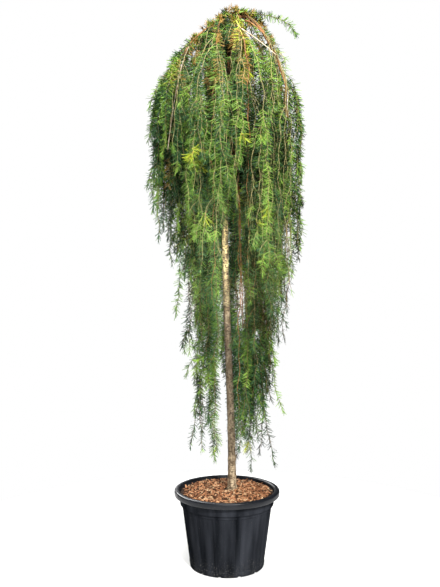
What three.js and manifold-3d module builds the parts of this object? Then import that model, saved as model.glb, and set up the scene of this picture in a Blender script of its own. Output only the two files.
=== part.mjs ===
// A weeping Japanese larch, grown on a straight stem in a black nursery pot.
//
// Millimetres, +Z up. +X is to the right and +Y away from someone who stands in front of the tree.
// The origin is the middle of the pot's flat underside, on the floor.
// Azimuths run from +X towards +Y, so the front of the tree is at -90 degrees.

import * as THREE from "three";
import { mergeVertices } from "three/addons/utils/BufferGeometryUtils.js";
import Module from "manifold-3d";

const wasm = await Module();
wasm.setup();

// Clearance where one piece is seated on another
const SEAT_GAP = 0.3;

// Pot
const POT_HEIGHT = 340;
const POT_BASE_RADIUS = 166;
const POT_WALL_SLOPE = 0.136; // how much the wall spreads for each millimetre of height
const POT_WALL = 4;
const POT_FLOOR = 6;
const POT_FOOT = 7; // height and width of the chamfer round the underside
const POT_SIDES = 48;
const RIM_RADIUS = 236;
const RIM_WIDTH = 23;
const RIM_DEPTH = 24;
const RIM_ROUND = 6;
const EDGE_BREAK = 3; // chamfer on the rim's inner edge and under the collar
const COLLAR_DEPTH = 42; // plain band under the rim
const COLLAR_STEP = 5; // how far that band stands out of the fluted wall
const FLUTES = 12;
const FLUTE_DEPTH = 2.2;
const FOOT_NOTCHES = 12; // drainage openings round the foot
const NOTCH_WIDTH = 15;
const NOTCH_HEIGHT = 9;
const NOTCH_DEPTH = 14;
const NOTCH_TURN = THREE.MathUtils.degToRad(-101); // azimuth of the first notch

// Bark mulch that fills the pot
const MULCH_TOP = 333;
const MULCH_EDGE = 324;
const MULCH_PLATEAU = 70; // radius of the level middle that the trunk stands on
const MULCH_GAP = 0.6; // to the pot, all round

// Trunk: it sways to the right at the foot, to the left at mid height and to the right again at the top
const TRUNK_FOOT = MULCH_TOP + SEAT_GAP;
const TRUNK_TIP = 2448;
const TRUNK_FOOT_RADIUS = 18;
const TRUNK_TIP_RADIUS = 8;
const TRUNK_TAPER = 0.8; // 1 is an even taper, less keeps it stout for longer
const FLARE = 7; // extra radius at the root flare
const FLARE_HEIGHT = 28;
const SWAY_MIDDLE = 7;
const SWAY_RIGHT = 16;
const SWAY_DEPTH = 6;
const SWAY_LENGTH = 1240; // height from the rightmost point, at the foot, to the leftmost
const TRUNK_SIDES = 10;
const TRUNK_STEPS = 22;

// Crown: the twigs follow a dome, and below it each strand hangs nearly plumb
const CROWN_RADIUS = 336; // where the outermost strands hang
const CROWN_LEAN = 0.03; // share by which the left side reaches further than the right
const DOME_TOP = 2470;
const DOME_FALL = 440; // from the top down to the outermost strands
const DOME_POWER = 2;
const DOME_LEFT = 45; // how much lower the left shoulder is than the right
const RING_RADIUS = 188; // the wall between the inner and the upper curtains
const INNER_CEILING = 2165; // the inner curtains stay below this height

// Strands: one hangs over each point of a sunflower spiral
const STRANDS = 74;
const FIRST_STRAND = 2; // the points nearest the trunk stay empty
const GOLDEN_ANGLE = Math.PI * (3 - Math.sqrt(5));
const STRAND_LOWEST = 392;
const LOWEST_SPREAD = 40;
const HEM_HEIGHT = 680; // where the strands near the trunk end on average
const HEM_RISE = 880; // how much higher the outermost ones end
const HEM_POWER = 0.75;
const HEM_CORE = 130; // strands nearer the axis than this all have the low hem
const HEM_SIDE = 225; // the right side hangs lower and the left side higher
const HEM_SPREAD = 240;
const PARTING_HALF = 42; // strands that hang within this of the trunk's middle, in front of it, end high up
const PARTING_HEIGHT = 1570; // and leave the trunk in view from here down
const STRAND_SWAY = 7;
const STRAND_SWAY_LENGTH = 760;
const STRAND_BEND = 0.75; // how far a strand falls while it bends over, as a share of its way out
const LEAST_BEND = 30;
const BRANCH_MIDDLE = 0.1; // share of the stem's way out at which the strands nearest its foot part from it
const BRANCH_OUTER = 0.55; // the same for the strands that hang furthest out
const BRANCH_FIRST = 0.08;
const BRANCH_LAST = 0.6;
const SEED = 21980;

// Twigs and their sprays of needles
const TWIG_ROOT_RADIUS = 3;
const TWIG_TIP_RADIUS = 1.1;
const SPRAY_PITCH = 106; // distance between the whorls of three sprays along a twig
const SPRAY_REACH = 33;
const SPRAY_SPREAD = 4; // by which the reach varies
const SPRAY_FORWARD = 0.75; // how far a spray points towards the tip, as a share of its reach
const SPRAY_TWIST = THREE.MathUtils.degToRad(47);
const SPACE_MARGIN = 1; // sprays keep this far inside their own space
const LIMB_MARGIN = 2; // and this far from the trunk and the boughs
const SAMPLE_PITCH = 4; // the limbs are sampled this closely for that
const TWIG_MARGIN = 14; // twigs keep this far inside their own space

// Boughs
const BOUGH_SIDES = 6;
const BOUGH_STEPS = 6;
const UPPER = {
  name: "upper",
  count: 10,
  stride: 3, // each bough down the trunk is this many places further round
  topRoot: 2436,
  rootPitch: 25,
  reach: 105,
  reachSpread: 18,
  rootRadius: 5.5,
  tipRadius: 3.6,
  droop: 0.55, // slope of a bough's tip
  stemRadius: 285,
  stemBend: 0.8, // how far a stem falls while it bends over, as a share of its way out
};
const INNER = {
  name: "inner",
  count: 5,
  stride: 2,
  topRoot: 2020,
  rootPitch: 25,
  reach: 78,
  reachSpread: 8,
  rootRadius: 5.5,
  tipRadius: 3.6,
  droop: 1,
  stemRadius: 150,
  stemBend: 0.8,
};
// The two stout arches among the upper boughs, on the right and on the left
const STOUT_BOUGHS = [
  { place: 0, reach: 198, rootRadius: 9, tipRadius: 5.5, droop: 2.2, stemBend: 1.6 },
  { place: 5, reach: 150, rootRadius: 7, tipRadius: 4.5 },
];
const INNER_TIP_HEIGHT = 2060;

// The tuft on the trunk's tip. One long shoot stands out of the dome on the right, and one hangs in front.
const TREE_TOP = 2512;
const LEADER_RADIUS = 6.4;
const LEADER_LEAN = 20; // how far the leader's head leans to the right
const TUFT_FORK = 0.75; // share of the leader's height where the shoots part from it
const TUFT_SHOOTS = 7;
const TUFT_REACH = 84;
const TUFT_DROP = 30;
const TUFT_BEND = 17;
const STRAY_REACH = 292;
const STRAY_DROP = 122;
const STRAY_BEND = 44;
const STRAY_AZIMUTH = THREE.MathUtils.degToRad(-18);
const FRONT_REACH = 68; // a second long shoot hangs down in front of the trunk's top
const FRONT_DROP = 270;
const FRONT_BEND = 30;
const FRONT_AZIMUTH = THREE.MathUtils.degToRad(-70);
const SHOOT_CLEARANCE = 46; // the curtains' sprays keep this far from the tuft's shoots

// Finishes
const finish = (color, roughness) => new THREE.MeshStandardMaterial({ color, roughness, metalness: 0 });
const BLACK_PLASTIC = finish(0x2b2d31, 0.5);
const MULCH = finish(0x9c6240, 0.95);
const TRUNK_BARK = finish(0xa48a74, 0.9);
const BOUGH_BARK = finish(0x8a5a3a, 0.85);
const NEEDLES = finish(0x5f8a3c, 0.7);
const YOUNG_NEEDLES = finish(0x97b04a, 0.7);

const tree = new THREE.Group();
tree.name = "weeping_larch";

function addPart(name, geometry, material) {
  const mesh = new THREE.Mesh(geometry, material);
  mesh.name = name;
  tree.add(mesh);
}

// Repeatable random numbers from 0 to 1
function seededRandom(seed) {
  let state = seed >>> 0;
  return () => {
    state = (Math.imul(state, 1664525) + 1013904223) >>> 0;
    return state / 2 ** 32;
  };
}

const random = seededRandom(SEED);
const around = (middle, spread) => middle + spread * (2 * random() - 1);
const polar = (radius, azimuth, z = 0) =>
  new THREE.Vector3(radius * Math.cos(azimuth), radius * Math.sin(azimuth), z);
const flatDistance = (a, b) => Math.hypot(a.x - b.x, a.y - b.y);

// Solids for joining and cutting

function solidOf(geometry) {
  const bare = new THREE.BufferGeometry().setAttribute("position", geometry.getAttribute("position"));
  bare.setIndex(geometry.index);
  const merged = mergeVertices(bare, 1e-4);
  return new wasm.Manifold(
    new wasm.Mesh({
      numProp: 3,
      vertProperties: merged.getAttribute("position").array,
      triVerts: new Uint32Array(merged.index.array),
    }),
  );
}

// The main body of a solid: sealed hollows are filled and loose scraps dropped
function geometryOf(solid) {
  const bodies = solid.decompose();
  const main = bodies.reduce((best, body) => (body.volume() > best.volume() ? body : best));
  const mesh = main.getMesh();
  return new THREE.BufferGeometry()
    .setAttribute("position", new THREE.BufferAttribute(mesh.vertProperties, 3))
    .setIndex(new THREE.BufferAttribute(mesh.triVerts, 1));
}

// Pot and mulch

const wallRadius = (z) => POT_BASE_RADIUS + POT_WALL_SLOPE * z;

function turned(profile) {
  const points = profile.map(([radius, z]) => new THREE.Vector2(radius, z));
  return new THREE.LatheGeometry(points, POT_SIDES).rotateX(Math.PI / 2);
}

// Presses shallow upright flutes into the wall between the foot and the collar
function flute(geometry, low, high) {
  const position = geometry.getAttribute("position");
  for (let i = 0; i < position.count; i++) {
    const vertex = new THREE.Vector3().fromBufferAttribute(position, i);
    const radius = Math.hypot(vertex.x, vertex.y);
    const onWall = vertex.z > low - 0.1 && vertex.z < high + 0.1 && radius > wallRadius(vertex.z) - 0.5;
    if (!onWall) continue;
    const depth = (FLUTE_DEPTH * (1 + Math.cos(FLUTES * Math.atan2(vertex.y, vertex.x)))) / 2;
    const share = (radius - depth) / radius;
    position.setXY(i, vertex.x * share, vertex.y * share);
  }
}

function potGeometry() {
  const rimBottom = POT_HEIGHT - RIM_DEPTH;
  const collarBottom = rimBottom - COLLAR_DEPTH;
  const shell = turned([
    [0, 0],
    [POT_BASE_RADIUS - POT_FOOT, 0],
    [wallRadius(POT_FOOT), POT_FOOT],
    [wallRadius(collarBottom), collarBottom],
    [wallRadius(collarBottom) + COLLAR_STEP, collarBottom + EDGE_BREAK],
    [wallRadius(rimBottom) + COLLAR_STEP, rimBottom],
    [RIM_RADIUS - EDGE_BREAK, rimBottom],
    [RIM_RADIUS, rimBottom + RIM_ROUND],
    [RIM_RADIUS, POT_HEIGHT - RIM_ROUND],
    [RIM_RADIUS - RIM_ROUND, POT_HEIGHT],
    [RIM_RADIUS - RIM_WIDTH + EDGE_BREAK, POT_HEIGHT],
    [RIM_RADIUS - RIM_WIDTH, POT_HEIGHT - EDGE_BREAK],
    [wallRadius(collarBottom) - POT_WALL, collarBottom],
    [wallRadius(POT_FLOOR) - POT_WALL, POT_FLOOR],
    [0, POT_FLOOR],
  ]);
  flute(shell, POT_FOOT, collarBottom);
  let solid = solidOf(shell);
  const notch = new THREE.BoxGeometry(2 * NOTCH_DEPTH, NOTCH_WIDTH, 2 * NOTCH_HEIGHT);
  for (let i = 0; i < FOOT_NOTCHES; i++) {
    const azimuth = NOTCH_TURN + (i * 2 * Math.PI) / FOOT_NOTCHES;
    const centre = polar(POT_BASE_RADIUS, azimuth);
    const cutter = notch.clone().rotateZ(azimuth).translate(centre.x, centre.y, centre.z);
    solid = solid.subtract(solidOf(cutter));
  }
  return geometryOf(solid);
}

function mulchGeometry() {
  const collarBottom = POT_HEIGHT - RIM_DEPTH - COLLAR_DEPTH;
  const rimInner = RIM_RADIUS - RIM_WIDTH;
  const collarInner = wallRadius(collarBottom) - POT_WALL;
  const edgeShare = (MULCH_EDGE - collarBottom) / (POT_HEIGHT - EDGE_BREAK - collarBottom);
  const floor = POT_FLOOR + MULCH_GAP;
  return turned([
    [0, floor],
    [wallRadius(floor) - POT_WALL - MULCH_GAP, floor],
    [collarInner - MULCH_GAP, collarBottom],
    [THREE.MathUtils.lerp(collarInner, rimInner, edgeShare) - MULCH_GAP, MULCH_EDGE],
    [MULCH_PLATEAU, MULCH_TOP],
    [0, MULCH_TOP],
  ]);
}

// Limbs

// The trunk's centre line
class TrunkLine extends THREE.Curve {
  getPoint(t, target = new THREE.Vector3()) {
    return target.copy(trunkPoint(THREE.MathUtils.lerp(TRUNK_FOOT, TRUNK_TIP, t)));
  }
}

function trunkPoint(z) {
  const swing = Math.cos((Math.PI * (z - TRUNK_FOOT)) / SWAY_LENGTH);
  return new THREE.Vector3(SWAY_MIDDLE + SWAY_RIGHT * swing, SWAY_DEPTH * swing, z);
}

function trunkRadius(z) {
  const t = (z - TRUNK_FOOT) / (TRUNK_TIP - TRUNK_FOOT);
  const taper = TRUNK_TIP_RADIUS + (TRUNK_FOOT_RADIUS - TRUNK_TIP_RADIUS) * (1 - t) ** TRUNK_TAPER;
  return taper + FLARE * Math.exp(-(z - TRUNK_FOOT) / FLARE_HEIGHT);
}

// A bough's centre line: it springs from the trunk, arches over and droops to its tip
class Arch extends THREE.Curve {
  constructor(root, tip, droop) {
    super();
    const launch = 2 * (tip.z - root.z) + droop * flatDistance(root, tip);
    Object.assign(this, { root, tip, launch });
  }
  getPoint(t, target = new THREE.Vector3()) {
    const { root, tip, launch } = this;
    target.lerpVectors(root, tip, t);
    target.z = root.z + launch * t + (tip.z - root.z - launch) * t * t;
    return target;
  }
}

// A strand's centre line: it bends over from its start, and then hangs over its target with a slight sway
class Strand extends THREE.Curve {
  constructor(start, target, end, bend, phase) {
    super();
    Object.assign(this, { start, target, end, bend, phase });
  }
  getPoint(t, target = new THREE.Vector3()) {
    const drop = (this.start.z - this.end) * t;
    const approach = 1 - Math.exp(-drop / this.bend);
    const sway = STRAND_SWAY * approach * Math.sin(this.phase + (2 * Math.PI * drop) / STRAND_SWAY_LENGTH);
    target.lerpVectors(this.start, this.target, approach);
    target.x += sway * Math.cos(this.phase);
    target.y += sway * Math.sin(this.phase);
    target.z = this.start.z - drop;
    return target;
  }
  // Where it has gone a share of the way to its target
  branchPoint(share) {
    const point = new THREE.Vector3().lerpVectors(this.start, this.target, share);
    point.z = this.start.z + this.bend * Math.log(1 - share);
    return point;
  }
}

// A round limb: a cylinder bent along its centre line and tapered, grown all over by a clearance
function limb(curve, radiusAt, sides, steps, grow = 0) {
  const geometry = new THREE.CylinderGeometry(1, 1, 1, sides, steps);
  const frames = curve.computeFrenetFrames(steps);
  const position = geometry.getAttribute("position");
  for (let i = 0; i < position.count; i++) {
    const step = Math.round((position.getY(i) + 0.5) * steps);
    const centre = curve.getPointAt(step / steps);
    const along = frames.tangents[step];
    const across = frames.normals[step];
    const aside = new THREE.Vector3().crossVectors(across, along);
    const radius = radiusAt(step / steps, centre) + grow;
    centre.addScaledVector(across, position.getX(i) * radius);
    centre.addScaledVector(aside, position.getZ(i) * radius);
    if (step === steps) centre.addScaledVector(along, grow);
    position.setXYZ(i, centre.x, centre.y, centre.z);
  }
  return geometry;
}

// Points along the limbs that foliage keeps clear of, with the radius there
const limbSamples = [];

function sampleLimb(curve, radiusAt) {
  const count = Math.ceil(curve.getLength() / SAMPLE_PITCH);
  for (let i = 0; i <= count; i++) {
    const centre = curve.getPointAt(i / count);
    limbSamples.push({ centre, radius: radiusAt(i / count, centre) });
  }
}

const clearOfLimbs = (point) =>
  limbSamples.every(({ centre, radius }) => centre.distanceTo(point) > radius + LIMB_MARGIN);

// Foliage

// A twig of three sides whose faces are drawn out into sprays of needles, in whorls that turn along it.
// A spray that may not grow leaves its face plain.
function needledTwig(curve, rootRadius, mayGrow) {
  const steps = Math.max(2, Math.round(curve.getLength() / SPRAY_PITCH));
  const frames = curve.computeFrenetFrames(steps);
  const vertices = [];
  const triangles = [];
  const ring = (step, side) => 3 * step + (side % 3);
  const outward = (step, turn) =>
    new THREE.Vector3()
      .addScaledVector(frames.normals[step], Math.cos(turn))
      .addScaledVector(frames.binormals[step], Math.sin(turn));
  for (let step = 0; step <= steps; step++) {
    const radius = THREE.MathUtils.lerp(rootRadius, TWIG_TIP_RADIUS, step / steps);
    for (let side = 0; side < 3; side++) {
      const turn = (side * 2 * Math.PI) / 3 + step * SPRAY_TWIST;
      vertices.push(curve.getPointAt(step / steps).addScaledVector(outward(step, turn), radius));
    }
  }
  triangles.push(ring(0, 0), ring(0, 2), ring(0, 1), ring(steps, 0), ring(steps, 1), ring(steps, 2));
  for (let step = 0; step < steps; step++) {
    const middle = curve.getPointAt((step + 0.5) / steps);
    for (let side = 0; side < 3; side++) {
      const face = [ring(step, side), ring(step, side + 1), ring(step + 1, side + 1), ring(step + 1, side)];
      const reach = around(SPRAY_REACH, SPRAY_SPREAD);
      const turn = ((side + 0.5) * 2 * Math.PI) / 3 + (step + 0.5) * SPRAY_TWIST;
      const tip = middle
        .clone()
        .addScaledVector(outward(step, turn), reach)
        .addScaledVector(frames.tangents[step], reach * SPRAY_FORWARD);
      if (mayGrow(tip) && mayGrow(middle.clone().lerp(tip, 0.5))) {
        const tipIndex = vertices.push(tip) - 1;
        face.forEach((corner, i) => triangles.push(corner, face[(i + 1) % 4], tipIndex));
      } else {
        triangles.push(face[0], face[1], face[2], face[0], face[2], face[3]);
      }
    }
  }
  const geometry = new THREE.BufferGeometry().setFromPoints(vertices);
  return geometry.setIndex(triangles);
}

function domeHeight(radius, azimuth) {
  const left = (DOME_LEFT * (1 - Math.cos(azimuth))) / 2;
  return DOME_TOP - left - DOME_FALL * (radius / CROWN_RADIUS) ** DOME_POWER;
}

// How low a strand hangs
function hemHeight(radius, azimuth) {
  const outside = Math.max(0, radius - HEM_CORE) / (CROWN_RADIUS - HEM_CORE);
  const level = HEM_HEIGHT + HEM_RISE * outside ** HEM_POWER;
  const side = HEM_SIDE * Math.cos(azimuth) * (radius / CROWN_RADIUS);
  const hem = Math.max(STRAND_LOWEST + LOWEST_SPREAD * random(), around(level - side, HEM_SPREAD));
  const { x, y } = polar(radius, azimuth);
  const hidesTrunk = y < 0 && Math.abs(x - SWAY_MIDDLE) < PARTING_HALF;
  return hidesTrunk ? Math.max(hem, PARTING_HEIGHT) : hem;
}

// One place to hang for each strand, as radius and azimuth
function strandPlaces() {
  const places = [];
  for (let k = FIRST_STRAND; k < STRANDS; k++) {
    const azimuth = (k * GOLDEN_ANGLE) % (2 * Math.PI);
    const radius = CROWN_RADIUS * Math.sqrt((k + 0.5) / STRANDS) * (1 - CROWN_LEAN * Math.cos(azimuth));
    places.push({ radius, azimuth, hem: hemHeight(radius, azimuth), phase: 2 * Math.PI * random() });
  }
  return places;
}

// The space of one curtain: a wedge round the crown's axis, inside or outside the ring wall
class Wedge {
  constructor(tier, place) {
    this.middle = (place * 2 * Math.PI) / tier.count;
    this.half = Math.PI / tier.count;
    this.inner = tier === INNER;
  }
  // Distances to the wedge's two upright sides
  sides(point) {
    const azimuth = Math.atan2(point.y, point.x) - this.middle;
    const radius = Math.hypot(point.x, point.y);
    return [radius * Math.sin(this.half - azimuth), radius * Math.sin(this.half + azimuth)];
  }
  holds(point, margin) {
    const radius = Math.hypot(point.x, point.y);
    const insideRing = radius < RING_RADIUS - margin && point.z < INNER_CEILING - margin;
    const outsideRing = radius > RING_RADIUS + margin || point.z > INNER_CEILING + margin;
    const forward = radius * Math.cos(Math.atan2(point.y, point.x) - this.middle) > 0;
    return forward && Math.min(...this.sides(point)) > margin && (this.inner ? insideRing : outsideRing);
  }
  owns({ radius, azimuth }) {
    const turn = Math.atan2(Math.sin(azimuth - this.middle), Math.cos(azimuth - this.middle));
    return Math.abs(turn) <= this.half && radius < RING_RADIUS === this.inner;
  }
  // A place moved far enough inside for the twig itself
  hangingPoint({ radius, azimuth }) {
    const kept = this.inner
      ? Math.min(radius, RING_RADIUS - TWIG_MARGIN)
      : Math.max(radius, RING_RADIUS + TWIG_MARGIN);
    const turn = Math.atan2(Math.sin(azimuth - this.middle), Math.cos(azimuth - this.middle));
    const most = this.half - Math.asin(Math.min(1, TWIG_MARGIN / kept));
    return polar(kept, this.middle + THREE.MathUtils.clamp(turn, -most, most));
  }
}

// The bough at one place of a tier, counted round the crown
function bough(tier, place) {
  const usual = { ...tier, reach: around(tier.reach, tier.reachSpread) };
  const stout = tier === UPPER ? STOUT_BOUGHS.find((limbSizes) => limbSizes.place === place) : undefined;
  const { reach, rootRadius, tipRadius, droop, stemBend } = { ...usual, ...stout };
  const order = [...Array(tier.count).keys()].find((k) => (k * tier.stride) % tier.count === place);
  const root = trunkPoint(tier.topRoot - order * tier.rootPitch);
  const azimuth = (place * 2 * Math.PI) / tier.count;
  const height = tier === UPPER ? domeHeight(reach, azimuth) : INNER_TIP_HEIGHT;
  const tip = polar(reach, azimuth, height);
  const radiusAt = (t) => THREE.MathUtils.lerp(rootRadius, tipRadius, t);
  return { tier, place, curve: new Arch(root, tip, droop), radiusAt, tip, tipRadius, stemBend };
}

// The curtain that hangs from a bough's tip: one stem, and strands that part from it and droop
function curtain({ tier, place, curve, radiusAt, tip, tipRadius, stemBend }, places) {
  const space = new Wedge(tier, place);
  const mayGrow = (point) => space.holds(point, SPACE_MARGIN) && clearOfLimbs(point);
  const own = places.filter((spot) => space.owns(spot));
  const hang = own.map((spot) => ({ ...spot, target: space.hangingPoint(spot) }));
  const ideal = polar(tier.stemRadius, space.middle);
  hang.sort((a, b) => flatDistance(a.target, ideal) - flatDistance(b.target, ideal));
  const [main, ...others] = hang;
  const bend = stemBend * flatDistance(tip, main.target);
  const stem = new Strand(tip, main.target, main.hem, bend, main.phase);
  let solid = solidOf(needledTwig(stem, tipRadius, mayGrow));
  const tipReach = Math.hypot(tip.x, tip.y);
  for (const { target, hem, phase } of others) {
    const outward = (Math.hypot(target.x, target.y) - tipReach) / (tier.stemRadius - tipReach);
    const share = THREE.MathUtils.lerp(BRANCH_MIDDLE, BRANCH_OUTER, outward);
    const start = stem.branchPoint(THREE.MathUtils.clamp(share, BRANCH_FIRST, BRANCH_LAST));
    const strandBend = Math.max(LEAST_BEND, STRAND_BEND * flatDistance(start, target));
    const strand = new Strand(start, target, hem, strandBend, phase);
    solid = solid.add(solidOf(needledTwig(strand, TWIG_ROOT_RADIUS, mayGrow)));
  }
  const socket = limb(curve, radiusAt, BOUGH_SIDES, BOUGH_STEPS, SEAT_GAP);
  return geometryOf(solid.subtract(solidOf(socket)));
}

// The tuft on the trunk's tip: an upright leader, and shoots that arch out round it
function tuft(trunkSocket) {
  const foot = trunkPoint(TRUNK_TIP);
  const head = new THREE.Vector3(foot.x + LEADER_LEAN, foot.y, TREE_TOP - SPRAY_FORWARD * SPRAY_REACH);
  const fork = new THREE.Vector3().lerpVectors(foot, head, TUFT_FORK);
  const shoots = [];
  for (let i = 0; i < TUFT_SHOOTS; i++) {
    const target = polar(TUFT_REACH, ((i + 0.5) * 2 * Math.PI) / TUFT_SHOOTS).add(fork);
    shoots.push(new Strand(fork, target, fork.z - TUFT_DROP, TUFT_BEND, 0));
  }
  const strayEnd = polar(STRAY_REACH, STRAY_AZIMUTH).add(fork);
  shoots.push(new Strand(fork, strayEnd, fork.z - STRAY_DROP, STRAY_BEND, 0));
  const frontEnd = polar(FRONT_REACH, FRONT_AZIMUTH).add(fork);
  shoots.push(new Strand(fork, frontEnd, fork.z - FRONT_DROP, FRONT_BEND, 0));
  const leader = new THREE.LineCurve3(foot, head);
  let solid = solidOf(needledTwig(leader, LEADER_RADIUS, clearOfLimbs));
  for (const shoot of shoots) {
    solid = solid.add(solidOf(needledTwig(shoot, TWIG_ROOT_RADIUS, clearOfLimbs)));
  }
  shoots.forEach((shoot) => sampleLimb(shoot, () => SHOOT_CLEARANCE));
  return geometryOf(solid.subtract(trunkSocket));
}

// Assembly

addPart("pot", potGeometry(), BLACK_PLASTIC);
addPart("bark_mulch", mulchGeometry(), MULCH);

const trunkLine = new TrunkLine();
const trunkRadiusAt = (t, centre) => trunkRadius(centre.z);
addPart("trunk", limb(trunkLine, trunkRadiusAt, TRUNK_SIDES, TRUNK_STEPS), TRUNK_BARK);
sampleLimb(trunkLine, trunkRadiusAt);
const trunkSocket = solidOf(limb(trunkLine, trunkRadiusAt, TRUNK_SIDES, TRUNK_STEPS, SEAT_GAP));

const places = strandPlaces();
const boughs = [];
for (const tier of [UPPER, INNER]) {
  for (let place = 0; place < tier.count; place++) boughs.push(bough(tier, place));
}
for (const { tier, place, curve, radiusAt } of boughs) {
  const whole = solidOf(limb(curve, radiusAt, BOUGH_SIDES, BOUGH_STEPS));
  const name = `${tier.name}_bough_${String(place + 1).padStart(2, "0")}`;
  addPart(name, geometryOf(whole.subtract(trunkSocket)), BOUGH_BARK);
  sampleLimb(curve, radiusAt);
}
addPart("leader_tuft", tuft(trunkSocket), YOUNG_NEEDLES);
for (const limbAbove of boughs) {
  const name = `${limbAbove.tier.name}_curtain_${String(limbAbove.place + 1).padStart(2, "0")}`;
  addPart(name, curtain(limbAbove, places), NEEDLES);
}

export default tree;
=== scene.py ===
# %% [markdown]
# # A weeping Japanese larch in a nursery pot
#
# The tree is nursery stock: one slim trunk in a black container, boughs that arch over at its top, and long
# strands of needles that hang from them almost to the mulch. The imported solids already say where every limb
# and strand is. Here each of them is replaced by the real thing at the same place: plastic, bark chips,
# bark with relief, twigs, needles.

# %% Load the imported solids
import math

import bpy
import numpy as np
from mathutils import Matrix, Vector


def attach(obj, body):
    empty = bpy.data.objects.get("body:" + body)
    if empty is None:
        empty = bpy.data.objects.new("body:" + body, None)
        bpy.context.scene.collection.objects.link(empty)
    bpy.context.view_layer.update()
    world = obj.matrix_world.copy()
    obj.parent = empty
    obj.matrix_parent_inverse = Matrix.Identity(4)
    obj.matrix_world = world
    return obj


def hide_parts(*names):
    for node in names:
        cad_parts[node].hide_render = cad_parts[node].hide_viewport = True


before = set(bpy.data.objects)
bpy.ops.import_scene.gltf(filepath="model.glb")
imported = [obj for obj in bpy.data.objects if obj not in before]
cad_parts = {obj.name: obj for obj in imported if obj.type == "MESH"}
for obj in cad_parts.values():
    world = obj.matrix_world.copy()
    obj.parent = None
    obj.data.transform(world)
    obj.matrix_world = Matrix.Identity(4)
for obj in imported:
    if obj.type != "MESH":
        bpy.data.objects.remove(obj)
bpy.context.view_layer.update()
MM = 0.001  # sizes below are in millimetres, and Blender works in metres

# %% [markdown]
# The camera stands where the photographer stood: 3.2 m in front of the pot, at half the tree's height, and
# almost level. The focal length was worked out in pixels of the picture, so it is turned into a lens with
# the picture's height.

# %% Camera
PHOTO_HEIGHT, FOCAL_PIXELS = 587, 712
EYE_DISTANCE, EYE_HEIGHT = 3200, 1245
TILT_DOWN, TURN_LEFT = 0.5, 0.56  # degrees

bpy.ops.object.select_all(action="DESELECT")
bpy.ops.object.camera_add(
    location=(0, -EYE_DISTANCE * MM, EYE_HEIGHT * MM),
    rotation=(math.radians(90 - TILT_DOWN), 0, math.radians(TURN_LEFT)),
)
camera = bpy.context.object
camera.name = "photo_camera"
camera.data.sensor_width = 36
camera.data.lens = camera.data.sensor_width * FOCAL_PIXELS / PHOTO_HEIGHT
bpy.context.scene.camera = camera
print("lens", round(camera.data.lens, 2), "mm")

# %% [markdown]
# Every material below is made of the same few steps, so a few small helpers come first. Colours are written
# as the sRGB hex values that a colour picker shows, and Blender's shaders want them linear. A node is added
# together with the values or nodes that go into it, so each material reads as a list of what feeds what.


# %% Helpers for materials
def linear(hex_colour):
    """The linear colour that Blender works with, from an sRGB hex value."""
    shares = [int(hex_colour[i : i + 2], 16) / 255 for i in (1, 3, 5)]
    return [s / 12.92 if s <= 0.04045 else ((s + 0.055) / 1.055) ** 2.4 for s in shares] + [1]


def add_node(material, kind, inputs=None, **settings):
    """Adds a node. Its inputs are plain values, or nodes and sockets that are linked to it.

    Of a node, the first output that is in use is linked.
    """
    node = material.node_tree.nodes.new("ShaderNode" + kind)
    for name, value in settings.items():
        setattr(node, name, value)
    for name, value in (inputs or {}).items():
        if isinstance(value, bpy.types.Node):
            value = next(socket for socket in value.outputs if socket.enabled)
        if isinstance(value, bpy.types.NodeSocket):
            material.node_tree.links.new(value, node.inputs[name])
        else:
            node.inputs[name].default_value = value
    return node


def new_material(name):
    """An empty material, with the Object coordinates that its patterns read."""
    material = bpy.data.materials.new(name)
    material.use_nodes = True
    material.node_tree.nodes.clear()
    return material, add_node(material, "TexCoord").outputs["Object"]


def finish_material(material, **inputs):
    """Closes a material with its shader, whose inputs are named with _ for a space."""
    sockets = {name.replace("_", " "): value for name, value in inputs.items()}
    shader = add_node(material, "BsdfPrincipled", sockets)
    add_node(material, "OutputMaterial", {"Surface": shader})
    return material


# A Mix node for colours has its inputs by number: factor, first colour, second colour
FACTOR, FIRST, SECOND = 0, 6, 7
print("material helpers ready")

# %% [markdown]
# The pot is injection-moulded polypropylene, coloured black. Its mould is polished where the rim is, and has
# a fine spark-eroded grain where the wall is, so the rim shines and the wall is matt. Lighter upright streaks
# on it are painted sheen, in place of the soft reflections of the wall. In a nursery the pot gets dusty:
# dried splashes sit low on the wall, and handling leaves duller and shinier patches. Three noises in Object
# coordinates give these: one drawn out in height for the painted sheen, a coarse one for the patches and a
# fine one for the specks.


# %% Black moulded polypropylene
# The streaks are painted sheen: lighter upright bands that stand in for the wall's soft reflections
PATCH_SIZE, SHEEN_STREAK_WIDTH = 60, 62
SHEEN_STREAK_SCALE = (1, 1, 0.035)  # draws the streaks out in height
SPECK_SIZE = 4  # real specks are finer, but would not show in the picture
DUST_TONE = "#77746d"


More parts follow.
